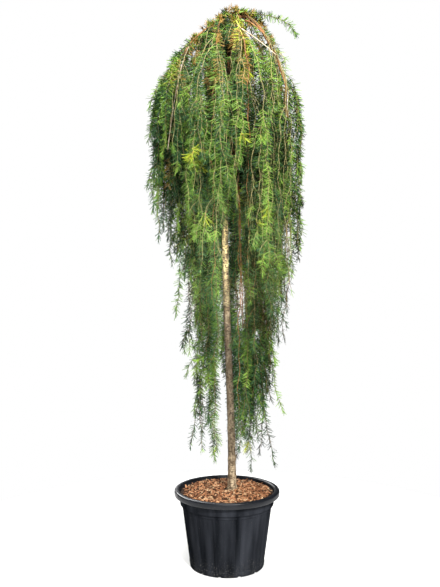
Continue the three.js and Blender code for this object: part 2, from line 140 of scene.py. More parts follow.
def pot_plastic(name, clean, sheen_tone, shine):
    """Black plastic with dust specks and upright streaks of painted sheen, matt or with some shine."""
    material, place = new_material(name)
    upright = add_node(material, "Mapping", {"Vector": place, "Scale": SHEEN_STREAK_SCALE})
    sheen_noise = add_node(
        material, "TexNoise", {"Vector": upright, "Scale": 1 / (SHEEN_STREAK_WIDTH * MM), "Detail": 3}
    )
    painted_sheen = add_node(material, "MapRange", {"Value": sheen_noise, "From Min": 0.36, "From Max": 0.72})
    sheen_streaked = add_node(
        material, "Mix", {FACTOR: painted_sheen, FIRST: linear(clean), SECOND: linear(sheen_tone)}, data_type="RGBA"
    )
    specks = add_node(material, "TexNoise", {"Vector": place, "Scale": 1 / (SPECK_SIZE * MM), "Detail": 2})
    height = add_node(material, "SeparateXYZ", {"Vector": place}).outputs["Z"]
    low = add_node(
        material,
        "MapRange",
        {"Value": height, "From Min": 0.02, "From Max": 0.1, "To Min": 0.11, "To Max": 0},
    )
    more_below = add_node(material, "Math", {0: specks, 1: low}, operation="ADD")
    dust = add_node(
        material, "MapRange", {"Value": more_below, "From Min": 0.69, "From Max": 0.81, "To Max": 0.42}
    )
    colour = add_node(
        material, "Mix", {FACTOR: dust, FIRST: sheen_streaked, SECOND: linear(DUST_TONE)}, data_type="RGBA"
    )
    patches = add_node(material, "TexNoise", {"Vector": place, "Scale": 1 / (PATCH_SIZE * MM), "Detail": 3})
    gloss = add_node(
        material,
        "MapRange",
        {"Value": patches, "From Min": 0.3, "From Max": 0.7, "To Min": 0.3, "To Max": 0.44},
    )
    grain = add_node(material, "Bump", {"Strength": 0.08, "Distance": 0.4 * MM, "Height": specks})
    return finish_material(
        material, Base_Color=colour, Roughness=gloss, Normal=grain, IOR=1.49, Specular_IOR_Level=shine
    )


# The second tone of each is the painted sheen of its streaks
wall_plastic = pot_plastic("polypropylene_moulded_matt_black", "#0e1013", "#2e3035", 0)
rim_plastic = pot_plastic("polypropylene_moulded_polished_black", "#0e1014", "#15171c", 0.3)
print(wall_plastic.name, rim_plastic.name)

# %% [markdown]
# The pot is a turned form, so it could be spun from a profile. Here it grows ring by ring instead: a circle
# is extruded upwards and resized at each ring, as one would do by hand. That leaves even bands of faces,
# which the flutes need next. The profile runs from the underside up the outside, over the rolled rim and
# down the inside. A groove under the collar, and a lip of the rim that hangs over it, make the two dark
# lines below the rim.


# %% Pot: the shell
def turned(name, profile, sides):
    """A closed form round the upright axis: a filled circle, whose edge is extruded from ring to ring."""
    (radius, height), *rings = profile
    bpy.ops.object.select_all(action="DESELECT")
    bpy.ops.mesh.primitive_circle_add(vertices=sides, radius=radius * MM, fill_type="NGON")
    piece = bpy.context.object
    piece.name = name
    bpy.ops.object.mode_set(mode="EDIT")
    bpy.ops.mesh.select_mode(type="EDGE")
    bpy.ops.mesh.select_all(action="SELECT")
    bpy.ops.transform.translate(value=(0, 0, height * MM))
    for next_radius, next_height in rings:
        rise = (next_height - height) * MM
        share = next_radius / radius
        bpy.ops.mesh.extrude_edges_move(TRANSFORM_OT_translate={"value": (0, 0, rise)})
        bpy.ops.transform.resize(value=(share, share, 1), center_override=(0, 0, next_height * MM))
        radius, height = next_radius, next_height
    bpy.ops.mesh.edge_face_add()
    bpy.ops.mesh.select_all(action="SELECT")
    bpy.ops.mesh.normals_make_consistent(inside=False)
    bpy.ops.object.mode_set(mode="OBJECT")
    return piece


POT_SIDES = 192
FOOT_RADIUS, WALL_SPREAD = 166, 0.136
PANEL_LOW, PANEL_HIGH = 20, 262
COLLAR_LOW, RIM_LOW, POT_TOP = 274, 316, 340


def wall_radius(z):
    """The pot spreads evenly from its foot upwards."""
    return FOOT_RADIUS + WALL_SPREAD * z


outside = [(164, 0), (wall_radius(2), 2)]
outside += [(wall_radius(z), z) for z in (PANEL_LOW, PANEL_HIGH)]
groove = [(wall_radius(COLLAR_LOW) - 2, COLLAR_LOW)]
collar = [(wall_radius(z) + 6, z) for z in (COLLAR_LOW + 2, RIM_LOW + 6)]
lip = [(230, RIM_LOW + 6), (232, RIM_LOW - 2), (235, RIM_LOW - 1), (236, RIM_LOW + 3)]
roll = [(236, 333), (234.5, 337), (231, 339.4), (226, POT_TOP), (217, 339.6)]
inside = [(213.5, 337), (212.5, 330), (199.3, COLLAR_LOW), (wall_radius(6) - 4, 6)]
pot = turned("nursery_pot", outside + groove + collar + lip + roll + inside, POT_SIDES)
print("pot shell:", len(pot.data.polygons), "faces")

# %% [markdown]
# Twelve shallow flutes stiffen the wall, with narrow upright ribs between them. The faces of the flutes are
# selected by where they lie, and an inset with some depth presses them in. The inset leaves a slanted
# border, as a moulding needs it to come out of its mould.


# %% Pot: the flutes
def select_faces(piece, wanted):
    """Goes into edit mode with the faces selected whose middle, in millimetres, passes a test."""
    bpy.ops.object.mode_set(mode="EDIT")
    bpy.ops.mesh.select_mode(type="FACE")
    bpy.ops.mesh.select_all(action="DESELECT")
    bpy.ops.object.mode_set(mode="OBJECT")
    for face in piece.data.polygons:
        face.select = wanted(face.center / MM)
    bpy.ops.object.mode_set(mode="EDIT")


FLUTES = 12
FLUTE_TURN = 360 / FLUTES  # degrees
RIB_HALF = 2  # degrees
FLUTE_BORDER, FLUTE_DEPTH = 9, 7


def on_flute(point):
    """Whether a face of the wall lies on a flute, clear of the ribs."""
    turn = math.degrees(math.atan2(point.y, point.x)) % FLUTE_TURN
    from_rib = abs(turn - FLUTE_TURN / 2)
    on_wall = abs(point.xy.length - wall_radius(point.z)) < 2
    return on_wall and PANEL_LOW < point.z < PANEL_HIGH and from_rib > RIB_HALF


select_faces(pot, on_flute)
bpy.ops.mesh.inset(thickness=FLUTE_BORDER * MM, depth=-FLUTE_DEPTH * MM)
bpy.ops.object.mode_set(mode="OBJECT")
print("pot with", FLUTES, "flutes:", len(pot.data.polygons), "faces")

# %% [markdown]
# Moulded edges are never sharp: the steel mould has small radii. A bevel modifier rounds every edge that
# turns by more than 30 degrees. The drainage notches round the foot come after that, because they are cut:
# twelve boxes are joined into one cutter, and a boolean modifier takes it away from the pot. Smooth shading
# alone would bend the light over the flat flutes, so a weighted-normal modifier keeps them flat. Last, the
# faces of the rim get the polished plastic.


# %% Pot: soft edges, notches and finish
def apply_modifier(piece, kind, **settings):
    """Adds a modifier to a piece and applies it."""
    bpy.ops.object.select_all(action="DESELECT")
    piece.select_set(True)
    bpy.context.view_layer.objects.active = piece
    modifier = piece.modifiers.new(kind.lower(), kind)
    for name, value in settings.items():
        setattr(modifier, name, value)
    bpy.ops.object.modifier_apply(modifier=modifier.name)


def settle(piece, material, slot, *nodes):
    """Gives a finished piece its material and body, and lets it stand for its solids. Its slot is not used.
    """
    piece.data.materials.clear()
    piece.data.materials.append(material)
    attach(piece, "root")
    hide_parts(*nodes)
    piece.data.calc_loop_triangles()
    print(piece.name, len(piece.data.loop_triangles), "triangles")


FIRST_NOTCH = -101  # degrees
NOTCH_DEEP, NOTCH_WIDE, NOTCH_HIGH = 28, 15, 18  # of the boxes, which stand half out of the pot
EDGE_RADIUS = 0.8
SOFT_ANGLE, SMOOTH_ANGLE = math.radians(30), math.radians(40)

apply_modifier(
    pot, "BEVEL", width=EDGE_RADIUS * MM, segments=2, limit_method="ANGLE", angle_limit=SOFT_ANGLE
)
notch_size = (NOTCH_DEEP * MM, NOTCH_WIDE * MM, NOTCH_HIGH * MM)
cutters = []
for notch in range(FLUTES):
    azimuth = math.radians(FIRST_NOTCH + notch * FLUTE_TURN)
    foot = (wall_radius(0) * MM * math.cos(azimuth), wall_radius(0) * MM * math.sin(azimuth), 0)
    bpy.ops.mesh.primitive_cube_add(size=1, location=foot, rotation=(0, 0, azimuth), scale=notch_size)
    cutters.append(bpy.context.object)
for cutter in cutters:
    cutter.select_set(True)
bpy.ops.object.join()
cutter = bpy.context.object
apply_modifier(pot, "BOOLEAN", object=cutter, operation="DIFFERENCE")
bpy.ops.object.shade_smooth_by_angle(angle=SMOOTH_ANGLE)
apply_modifier(pot, "WEIGHTED_NORMAL", keep_sharp=True)
bpy.ops.object.select_all(action="DESELECT")
cutter.select_set(True)
bpy.ops.object.delete()
settle(pot, wall_plastic, "black_plastic", "pot")
pot.data.materials.append(rim_plastic)
rim_faces = [face for face in pot.data.polygons if face.center.z > (RIM_LOW - 3) * MM]
for face in rim_faces:
    face.material_index = 1
print(len(rim_faces), "faces of the rim are polished")

# %% [markdown]
# Bark mulch is shredded conifer bark: flat splinters and chips, red-brown outside and paler where they
# broke, with some straw-coloured fibres. Between them it is dark: one rough bed fills the pot, and it is dark
# bark darkened further as painted shade of the gaps. More than two thousand chips lie on it. They are dealt
# into four pieces by colour, because each chip is one plain piece of bark. The material has two near tones,
# which change with a noise. Twigs and needles get the same kind of material further below, so what differs
# between them is given apart.


# %% Bark of the mulch
# The noise: its grain in millimetres, its detail and how strong that is. Then the spread of the noise within
# which the tones change, the bump, the roughness and the shine: broken bark is fibrous and matt
BROKEN_BARK = dict(grain=5, detail=4, fineness=0.7, spread=0.15, bump=0.5, roughness=0.9, shine=0.2)


def two_tones(name, dark, light, grain, detail, fineness, spread, bump, roughness, shine):
    """A material that changes between two near tones, and may have a bump of the same pattern."""
    material, place = new_material(name)
    noise = add_node(
        material,
        "TexNoise",
        {"Vector": place, "Scale": 1 / (grain * MM), "Detail": detail, "Roughness": fineness},
    )
    share = add_node(
        material, "MapRange", {"Value": noise, "From Min": 0.5 - spread, "From Max": 0.5 + spread}
    )
    colour = add_node(
        material, "Mix", {FACTOR: share, FIRST: linear(dark), SECOND: linear(light)}, data_type="RGBA"
    )
    finish = dict(Base_Color=colour, Roughness=roughness, Specular_IOR_Level=shine)
    if bump:
        finish["Normal"] = add_node(material, "Bump", {"Strength": bump, "Distance": 1 * MM, "Height": noise})
    return finish_material(material, **finish)


# The bed's near-black tones are painted shade in the gaps between the chips
bed_bark_painted_shade = two_tones("bark_mulch_bed_painted_shade", "#170d07", "#33200f", **BROKEN_BARK)
chip_barks = {
    "red": two_tones("bark_chip_red_brown", "#6b4127", "#996745", **BROKEN_BARK),
    "orange": two_tones("bark_chip_orange_brown", "#8f5e3c", "#b98a63", **BROKEN_BARK),
    "dark": two_tones("bark_chip_weathered", "#2c1a0f", "#4d311e", **BROKEN_BARK),
    "straw": two_tones("bark_chip_straw", "#9f7e5b", "#c0a07c", **BROKEN_BARK),
}
print(len(chip_barks) + 1, "mulch materials")

# %% [markdown]
# The bed is turned like the pot, with rings close together on top. A subdivision with two cuts, and then a
# displacement from a cloud texture, make its surface lumpy. Only the top is in the group that moves, so the
# bed keeps clear of the pot.

# %% Mulch: the bed
BED_SIDES = 72
BED_EDGE = 324
LUMP_SIZE, LUMP_HEIGHT = 14, 9

bed_profile = [(162, 6.6), (198.6, COLLAR_LOW), (209.5, BED_EDGE)]
bed_profile += [(195, 326), (165, 328), (135, 329.5), (105, 331), (70, 332), (45, 332.5), (20, 332.5)]
bed = turned("mulch_bed", bed_profile, BED_SIDES)
select_faces(bed, lambda middle: middle.z > BED_EDGE + 0.2)
bpy.ops.mesh.subdivide(number_cuts=2)
bpy.ops.object.mode_set(mode="OBJECT")
top = bed.vertex_groups.new(name="top")
top.add([v.index for v in bed.data.vertices if v.co.z > (BED_EDGE + 0.5) * MM], 1, "REPLACE")
lumps = bpy.data.textures.new("mulch_lumps", "CLOUDS")
lumps.noise_scale = LUMP_SIZE * MM
apply_modifier(
    bed,
    "DISPLACE",
    texture=lumps,
    texture_coords="LOCAL",
    strength=LUMP_HEIGHT * MM,
    mid_level=0.6,
    vertex_group="top",
)
settle(bed, bed_bark_painted_shade, "bark_mulch", "bark_mulch")

# %% [markdown]
# A chip is a flat block of eight corners with each corner moved a little, so no two are alike. So many of
# them are quickest to make as arrays: all corners at once, turned and laid on the bed, and joined into one
# mesh for each colour.


# %% Mulch: the chips
def mesh_from_arrays(name, corners, faces):
    """One object from a list of corners in millimetres and a list of faces."""
    mesh = bpy.data.meshes.new(name)
    mesh.from_pydata((corners * MM).tolist(), [], faces.tolist())
    piece = bpy.data.objects.new(name, mesh)
    bpy.context.scene.collection.objects.link(piece)
    return piece


def mulch_height(radius):
    """The mulch is highest round the trunk and falls a little to the rim."""
    return np.interp(radius, [70, 209], [333, 325])


def spun(corners, axis, other, angle):
    """The corners of many chips, each chip turned by its angle from one axis towards another."""
    cos, sin = np.cos(angle)[:, None], np.sin(angle)[:, None]
    result = corners.copy()
    result[..., axis] = corners[..., axis] * cos - corners[..., other] * sin
    result[..., other] = corners[..., axis] * sin + corners[..., other] * cos
    return result


chance = np.random.default_rng(7)
FULL_TURN = 2 * math.pi
CUBE = np.array([[x, y, z] for x in (-1, 1) for y in (-1, 1) for z in (-1, 1)]) / 2
CUBE_FACES = np.array([[0, 1, 3, 2], [4, 6, 7, 5], [0, 4, 5, 1], [2, 3, 7, 6], [0, 2, 6, 4], [1, 5, 7, 3]])
CHIP_COUNTS = {"red": 900, "orange": 650, "dark": 900, "straw": 330}
CHIP_SPANS = [(8, 28), (2.5, 6.5), (1.5, 3.5)]  # least and most length, width and thickness
CHIP_TILT = 0.3  # radians
CHIPS_OUT_TO = 191
CHIP_HEIGHTS = (-2, 7)  # over the mulch


def chips(count):
    """Corners of flat, crooked chips that lie at all angles on the mulch."""
    size = np.stack([chance.uniform(least, most, count) for least, most in CHIP_SPANS], 1)
    corners = CUBE * size[:, None] * chance.uniform(0.7, 1.3, (count, 8, 3))
    yaw = chance.uniform(0, FULL_TURN, count)
    tilt = chance.normal(0, CHIP_TILT, count)
    corners = spun(spun(corners, 0, 2, tilt), 0, 1, yaw)
    radius = np.sqrt(chance.uniform(0.02, 1, count)) * CHIPS_OUT_TO
    azimuth = chance.uniform(0, FULL_TURN, count)
    height = mulch_height(radius) + chance.uniform(*CHIP_HEIGHTS, count)
    return corners + np.stack([radius * np.cos(azimuth), radius * np.sin(azimuth), height], 1)[:, None]


for tone, count in CHIP_COUNTS.items():
    faces = CUBE_FACES[None] + 8 * np.arange(count)[:, None, None]
    piece = mesh_from_arrays(f"mulch_chips_{tone}", chips(count).reshape(-1, 3), faces.reshape(-1, 4))
    settle(piece, chip_barks[tone], "bark_mulch", "bark_mulch")

# %% [markdown]
# Young larch bark is thin and matt: tan, mottled, with short dark lenticels across it. The mottling comes
# from a noise that is drawn out along the trunk, the lenticels from a second one that is flattened and cut
# off hard. The ground tone follows the height: pale at the foot, grey-brown above it, then a bright tan
# below the crown, partly the bark's colour and partly painted light against the crown's shade, and inside
# the crown dark brown, partly the young bark's colour and partly painted shade.

# %% Bark of the trunk
BLOTCH_SIZE = 17
LENTICEL_SIZE = 10  # real ones are finer, but would not show in the picture
DRAWN_OUT, FLATTENED = (1, 1, 0.45), (1, 1, 2.6)
FOOT_TONE, BLOTCH_TONE, LENTICEL_TONE = "#bda98a", "#5c4c38", "#3a2b20"
# Heights in metres between which the tone changes; the tan has painted light, the dark brown painted shade
HEIGHT_TONES = [(0.36, 0.68, "#9a8a72"), (1.12, 1.5, "#f6dba0"), (1.55, 1.8, "#4a3423")]

trunk_bark, place = new_material("larch_bark_young")
tall = add_node(trunk_bark, "Mapping", {"Vector": place, "Scale": DRAWN_OUT})
blotches = add_node(
    trunk_bark,
    "TexNoise",
    {"Vector": tall, "Scale": 1 / (BLOTCH_SIZE * MM), "Detail": 5, "Roughness": 0.65},
)
flat = add_node(trunk_bark, "Mapping", {"Vector": place, "Scale": FLATTENED})
lenticels = add_node(
    trunk_bark, "TexNoise", {"Vector": flat, "Scale": 1 / (LENTICEL_SIZE * MM), "Detail": 2}
)
height = add_node(trunk_bark, "SeparateXYZ", {"Vector": place}).outputs["Z"]
tone = linear(FOOT_TONE)
for low, high, next_tone in HEIGHT_TONES:
    share = add_node(trunk_bark, "MapRange", {"Value": height, "From Min": low, "From Max": high})
    tone = add_node(
        trunk_bark, "Mix", {FACTOR: share, FIRST: tone, SECOND: linear(next_tone)}, data_type="RGBA"
    )
shaded = add_node(
    trunk_bark,
    "MapRange",
    {"Value": blotches, "From Min": 0.42, "From Max": 0.6, "To Min": 0.85, "To Max": 0},
)
mottled = add_node(
    trunk_bark, "Mix", {FACTOR: shaded, FIRST: tone, SECOND: linear(BLOTCH_TONE)}, data_type="RGBA"
)
specks = add_node(
    trunk_bark, "MapRange", {"Value": lenticels, "From Min": 0.54, "From Max": 0.6, "To Max": 0.95}
)
speckled = add_node(
    trunk_bark, "Mix", {FACTOR: specks, FIRST: mottled, SECOND: linear(LENTICEL_TONE)}, data_type="RGBA"
)
bump = add_node(trunk_bark, "Bump", {"Strength": 0.6, "Distance": 1.5 * MM, "Height": lenticels})
finish_material(trunk_bark, Base_Color=speckled, Roughness=0.85, Normal=bump, Specular_IOR_Level=0.25)
print(trunk_bark.name)

# %% [markdown]
# From here on the tree is grown by the rule that made the solids, so that every piece ends up where its
# solid is. The rule starts with the trunk: a centre line that sways right at the foot, left at mid height
# and right again at the top, and a radius that tapers to the tip and flares at the root.

# %% Growth rule: the trunk
TRUNK_FOOT, TRUNK_TIP = 333.3, 2448
TRUNK_MIDDLE = 7  # to the right of the pot's axis
SWAY_LENGTH, SWAY_RIGHT, SWAY_BACK = 1240, 16, 6
TIP_RADIUS, TAPER = 8, 10
FLARE, FLARE_HEIGHT = 7, 28


def trunk_point(z):
    """The trunk's centre at a height."""
    swing = np.cos(np.pi * (np.asarray(z, float) - TRUNK_FOOT) / SWAY_LENGTH)
    return np.stack([TRUNK_MIDDLE + SWAY_RIGHT * swing, SWAY_BACK * swing, z + 0 * swing], -1)


def trunk_radius(z):
    """The trunk's radius at a height."""
    rest = np.clip(1 - (z - TRUNK_FOOT) / (TRUNK_TIP - TRUNK_FOOT), 0, 1)
    return TIP_RADIUS + TAPER * rest**0.8 + FLARE * np.exp(-(z - TRUNK_FOOT) / FLARE_HEIGHT)


thick_low, thick_high = [2 * trunk_radius(z).round(1) for z in (400.0, 2300.0)]
print("trunk:", thick_low, "mm thick at 400 mm,", thick_high, "at 2300 mm")

# %% [markdown]
# A limb is a curve with a round bevel and its own radius at every point, turned into a mesh. The caps at
# its ends come apart from the tube, so they are welded to it by merging points that lie together. Its
# relief is real geometry: a displacement with a coarse texture for swellings and one with a finer texture
# for the scales of the bark. The trunk also swells a little where it once had side shoots.


# %% Trunk with its relief
def limb(name, points, radii, resolution):
    """A round limb as a closed mesh, from centre points and radii in millimetres."""
    bpy.ops.object.select_all(action="DESELECT")
    bpy.ops.curve.primitive_nurbs_path_add()
    piece = bpy.context.object
    piece.name = piece.data.name = name
    piece.data.splines.clear()
    line = piece.data.splines.new("POLY")
    line.points.add(len(points) - 1)
    for point, centre, radius in zip(line.points, points, radii):
        point.co = (*(centre * MM), 1)
        point.radius = radius * MM
    piece.data.bevel_depth = 1
    piece.data.bevel_resolution = resolution
    piece.data.use_fill_caps = True
    bpy.ops.object.convert(target="MESH")
    bpy.ops.object.mode_set(mode="EDIT")
    bpy.ops.mesh.select_all(action="SELECT")
    bpy.ops.mesh.remove_doubles(threshold=0.01 * MM)
    bpy.ops.mesh.normals_make_consistent(inside=False)
    bpy.ops.object.mode_set(mode="OBJECT")
    return bpy.context.object


def roughen(piece, kind, size, depth):
    """Presses a procedural texture of a given grain size into a piece, in millimetres."""
    texture = bpy.data.textures.new(f"{piece.name}_{kind.lower()}", kind)
    texture.noise_scale = size * MM
    apply_modifier(
        piece, "DISPLACE", texture=texture, texture_coords="LOCAL", strength=depth * MM, mid_level=0.5
    )


SCAR_HEIGHTS = [402, 470, 610, 800, 1010, 1120, 1175, 1260, 1430, 1620, 1800, 1950]
SCAR_SWELLING, SCAR_HALF = 1.6, 9
TRUNK_SUNK, RING_STEP = 8, 4.0  # into the mulch, and from ring to ring

heights = np.arange(TRUNK_FOOT - TRUNK_SUNK, TRUNK_TIP, RING_STEP)
swellings = sum(SCAR_SWELLING * np.exp(-(((heights - scar) / SCAR_HALF) ** 2)) for scar in SCAR_HEIGHTS)
radii = trunk_radius(np.maximum(heights, TRUNK_FOOT)) + swellings
trunk = limb("trunk_bark", trunk_point(heights), radii, 10)
roughen(trunk, "CLOUDS", 22, 2.4)
roughen(trunk, "STUCCI", 7, 1.4)
bpy.ops.object.shade_smooth()
settle(trunk, trunk_bark, "trunk_bark", "trunk")

# %% [markdown]
# The source deals its strands from one stream of repeatable random numbers. Python repeats the same stream
# here: first a place, a lowest point and a sway for each strand, in a sunflower spiral round the trunk,
# then the reach of each bough. A second, separate stream is used below for everything finer.

# %% Growth rule: where the strands hang
CROWN_RADIUS, RING_RADIUS = 336, 188
GOLDEN_ANGLE = math.pi * (3 - math.sqrt(5))
SPIRAL_STRANDS, FIRST_STRAND = 74, 2  # those before the first would hang too close to the trunk
CORE_RADIUS = 130  # within it the strands hang lowest
HEM_LOW, HEM_RISE = 680, 880  # the hem's height at the core, and its rise to the crown's edge
HEM_SLANT, HEM_SPREAD = 225, 240  # lower on the right and higher on the left, and uneven
LOWEST_END, LOWEST_SPREAD = 392, 40
VIEW_HALF, VIEW_HEM = 42, 1570  # in front of the trunk the strands end higher
draw_state = 21980


def draw():
    """The next number of the source's stream, from 0 to 1."""
    global draw_state
    draw_state = (draw_state * 1664525 + 1013904223) % 2**32
    return draw_state / 2**32


def around(middle, spread):
    """A number of the stream that lies round a middle."""
    return middle + spread * (2 * draw() - 1)


def polar(radius, azimuth):
    """A flat place from its radius and azimuth."""
    return np.array([radius * math.cos(azimuth), radius * math.sin(azimuth)])


def hides_trunk(place):
    """Whether a strand at a place would hang right in front of the trunk."""
    return place[1] < 0 and abs(place[0] - TRUNK_MIDDLE) < VIEW_HALF


def strand_place(k):
    """Radius, azimuth, lowest point and sway of one strand."""
    azimuth = (k * GOLDEN_ANGLE) % FULL_TURN
    radius = CROWN_RADIUS * math.sqrt((k + 0.5) / SPIRAL_STRANDS) * (1 - 0.03 * math.cos(azimuth))
    level = HEM_LOW + HEM_RISE * (max(0, radius - CORE_RADIUS) / (CROWN_RADIUS - CORE_RADIUS)) ** 0.75
    lowest = LOWEST_END + LOWEST_SPREAD * draw()
    hem = max(lowest, around(level - HEM_SLANT * math.cos(azimuth) * radius / CROWN_RADIUS, HEM_SPREAD))
    if hides_trunk(polar(radius, azimuth)):
        hem = max(hem, VIEW_HEM)
    return radius, azimuth, hem, FULL_TURN * draw()


strand_places = [strand_place(k) for k in range(FIRST_STRAND, SPIRAL_STRANDS)]
print(len(strand_places), "strands, the lowest ends at", round(min(p[2] for p in strand_places)), "mm")

# %% [markdown]
# The boughs come in two tiers. Ten upper ones spring from the trunk's top and arch over; the first of them,
# on the right, and the sixth, on the left, are stout. Five inner ones sit lower and carry the strands near
# the trunk. Each follows a parabola from the trunk to its tip.

# %% Growth rule: the boughs
UPPER = dict(name="upper", count=10, stride=3, top=2436, reach=105, spread=18, droop=0.55, stem=285)
INNER = dict(name="inner", count=5, stride=2, top=2020, reach=78, spread=8, droop=1, stem=150)
STOUT = {
    0: dict(reach=198, root_radius=9, tip_radius=5.5, droop=2.2, stem_bend=1.6),
    5: dict(reach=150, root_radius=7, tip_radius=4.5),
}
ROOT_STEP = 25  # from one bough's root down to the next
DOME_TOP, DOME_TILT, DOME_DEPTH = 2470, 45, 440  # its height, how much lower the left is, and its depth
INNER_TIP = 2060


def bough(tier, place):
    """One bough: its sizes, its azimuth and the points of its centre line."""
    sizes = dict(root_radius=5.5, tip_radius=3.6, stem_bend=0.8) | tier
    sizes["reach"] = around(tier["reach"], tier["spread"])
    if tier is UPPER:
        sizes |= STOUT.get(place, {})
    order = next(k for k in range(tier["count"]) if k * tier["stride"] % tier["count"] == place)
    azimuth = place * FULL_TURN / tier["count"]
    root = trunk_point(tier["top"] - ROOT_STEP * order)
    height = DOME_TOP - DOME_TILT * (1 - math.cos(azimuth)) / 2
    height -= DOME_DEPTH * (sizes["reach"] / CROWN_RADIUS) ** 2
    tip = np.array([*polar(sizes["reach"], azimuth), height if tier is UPPER else INNER_TIP])
    rise = tip[2] - root[2]
    launch = 2 * rise + sizes["droop"] * np.hypot(*(tip - root)[:2])
    t = np.linspace(0, 1, 60)[:, None]
    points = root + (tip - root) * t
    points[:, 2:] = root[2] + launch * t + (rise - launch) * t**2
    return sizes | dict(place=place, azimuth=azimuth, tip=tip, points=points)


boughs = [bough(tier, place) for tier in (UPPER, INNER) for place in range(tier["count"])]
print(len(boughs), "boughs, the longest reaches", round(max(b["reach"] for b in boughs)), "mm")

# %% [markdown]
# Bark on a bough is rustier than on the trunk. Two warm tones in blotches are enough for it, so it gets the
# kind of material that the mulch has. On twigs the bark changes with age: rusty on old wood, straw-coloured
# on young strands, green on the newest shoot. Dead wood bleaches. The brown bark is the colour of the thin
# bare twigs, and on young twigs inside the crown and low down it is painted shade.

# %% Bark of the boughs and twigs
# Thin bark is slightly shiny, with a fine bump. The grain of its blotches is given with each kind
THIN_BARK = dict(detail=4, fineness=0.5, spread=0.12, bump=0.4, roughness=0.7, shine=0.3)

bough_bark = two_tones("larch_bark_rusty", "#6b4229", "#a06c40", grain=12, **THIN_BARK)
twig_barks = {
    "old": two_tones("larch_twig_bark_rusty", "#664529", "#966b3d", grain=10, **THIN_BARK),
    "young": two_tones("larch_twig_bark_straw", "#756d42", "#9c9060", grain=8, **THIN_BARK),
    # brown: the own colour of the thin bare twigs, and painted shade on young twigs inside and low down
    "low": two_tones("larch_twig_bark_brown_and_painted_shade", "#4c3d26", "#75603a", grain=8, **THIN_BARK),
    "green": two_tones("larch_shoot_bark_green", "#8f9a35", "#b8bd55", grain=8, **THIN_BARK),
    "bleached": two_tones("larch_twig_wood_bleached", "#a89478", "#d2c3ac", grain=14, **THIN_BARK),
}
print(bough_bark.name, *[material.name for material in twig_barks.values()])

# %% [markdown]
# A bough is a limb like the trunk, only thinner and with a finer relief. Old bud scars make it knobbly: its
# radius rises and falls a little all along, before the texture is pressed in.

# %% Boughs with their relief
for b in boughs:
    along = np.linspace(0, 1, len(b["points"]))
    knuckles = 0.5 * np.sin(along * b["reach"] / 2.4)
    radii = b["root_radius"] + (b["tip_radius"] - b["root_radius"]) * along + knuckles
    node = f"{b['name']}_bough_{b['place'] + 1:02d}"
    piece = limb(f"{node}_bark", b["points"], radii, 4)
    roughen(piece, "CLOUDS", 9, 1.6)
    bpy.ops.object.shade_smooth()
    settle(piece, bough_bark, "bough_bark", node)

# %% [markdown]
# A strand bends over from where it starts and then hangs plumb over its place, swaying a little. On each
# bough's tip one strand carries on as the stem, and the others part from that stem on its way out. This is
# again the source's rule.

# %% Growth rule: the strands
LINE_PITCH = 10
SWAY, SWAY_WAVE = 7, 760
CLEARANCE = 14  # of a strand from the borders of its bough's wedge
BEND_SHARE = 0.75  # a strand's bend, as a share of how far out it goes


def evenly(points, pitch):
    """The same line with its points a fixed distance apart."""
    steps = np.linalg.norm(np.diff(points, axis=0), axis=1)
    length = np.concatenate([[0], np.cumsum(steps)])
    wanted = np.linspace(0, length[-1], max(3, round(length[-1] / pitch) + 1))
    return np.stack([np.interp(wanted, length, points[:, axis]) for axis in range(3)], 1)


def hang(start, target, end, bend, phase):
    """The points of a strand that starts somewhere and hangs over a target down to its end."""
    drop = (start[2] - end) * np.linspace(0, 1, 240)[:, None] ** 2
    approach = 1 - np.exp(-drop / bend)
    sway = SWAY * approach * np.sin(phase + FULL_TURN * drop / SWAY_WAVE)
    flat = start[:2] + (target - start[:2]) * approach + sway * polar(1, phase)
    return evenly(np.hstack([flat, start[2] - drop]), LINE_PITCH)


def turn_between(azimuth, middle):
    """The turn from a middle to an azimuth, less than half a turn to either side."""
    return (azimuth - middle + math.pi) % FULL_TURN - math.pi


def hanging_point(b, radius, azimuth):
    """A place moved a little inside its bough's own wedge of the crown."""
    kept = min(radius, RING_RADIUS - CLEARANCE)
    if b["name"] == "upper":
        kept = max(radius, RING_RADIUS + CLEARANCE)
    most = math.pi / b["count"] - math.asin(min(1, CLEARANCE / kept))
    turn = turn_between(azimuth, b["azimuth"])
    return polar(kept, b["azimuth"] + max(-most, min(most, turn)))


def own_strands(b):
    """Target, lowest point and sway of the strands in a bough's wedge, the stem's first."""
    own = []
    for radius, azimuth, hem, phase in strand_places:
        in_wedge = abs(turn_between(azimuth, b["azimuth"])) <= math.pi / b["count"]
        if in_wedge and (radius < RING_RADIUS) == (b["name"] == "inner"):
            own.append((hanging_point(b, radius, azimuth), hem, phase))
    ideal = polar(b["stem"], b["azimuth"])
    return sorted(own, key=lambda strand: np.hypot(*(strand[0] - ideal)))


def curtain(b):
    """The lines of one curtain: its stem, and the strands that part from it."""
    (target, hem, phase), *others = own_strands(b)
    tip, flat_tip = b["tip"], b["tip"][:2]
    bend = b["stem_bend"] * np.hypot(*(target - flat_tip))
    lines = [hang(tip, target, hem, bend, phase)]
    for place, end, sway in others:
        outward = (np.hypot(*place) - np.hypot(*flat_tip)) / (b["stem"] - np.hypot(*flat_tip))
        share = min(0.6, max(0.08, 0.1 + 0.45 * outward))
        start = np.array([*(flat_tip + (target - flat_tip) * share), tip[2] + bend * math.log(1 - share)])
        part_bend = max(30, BEND_SHARE * np.hypot(*(place - start[:2])))
        lines.append(hang(start, place, end, part_bend, sway))
    return lines


curtains = [curtain(b) for b in boughs]
print(sum(len(lines) for lines in curtains), "strands in", len(curtains), "curtains")

# %% [markdown]
# Twigs are kept as a list, each with its line, its thickness and how it is clothed. The stems are the
# oldest twigs and bare where they leave the bough; the strands are younger. The tuft on the trunk's tip has
# a short leader that leans to the right, and shoots that arch out round it: one of them long and to the
# right, one hanging down in front.

# %% Twigs of the solids
twigs = []


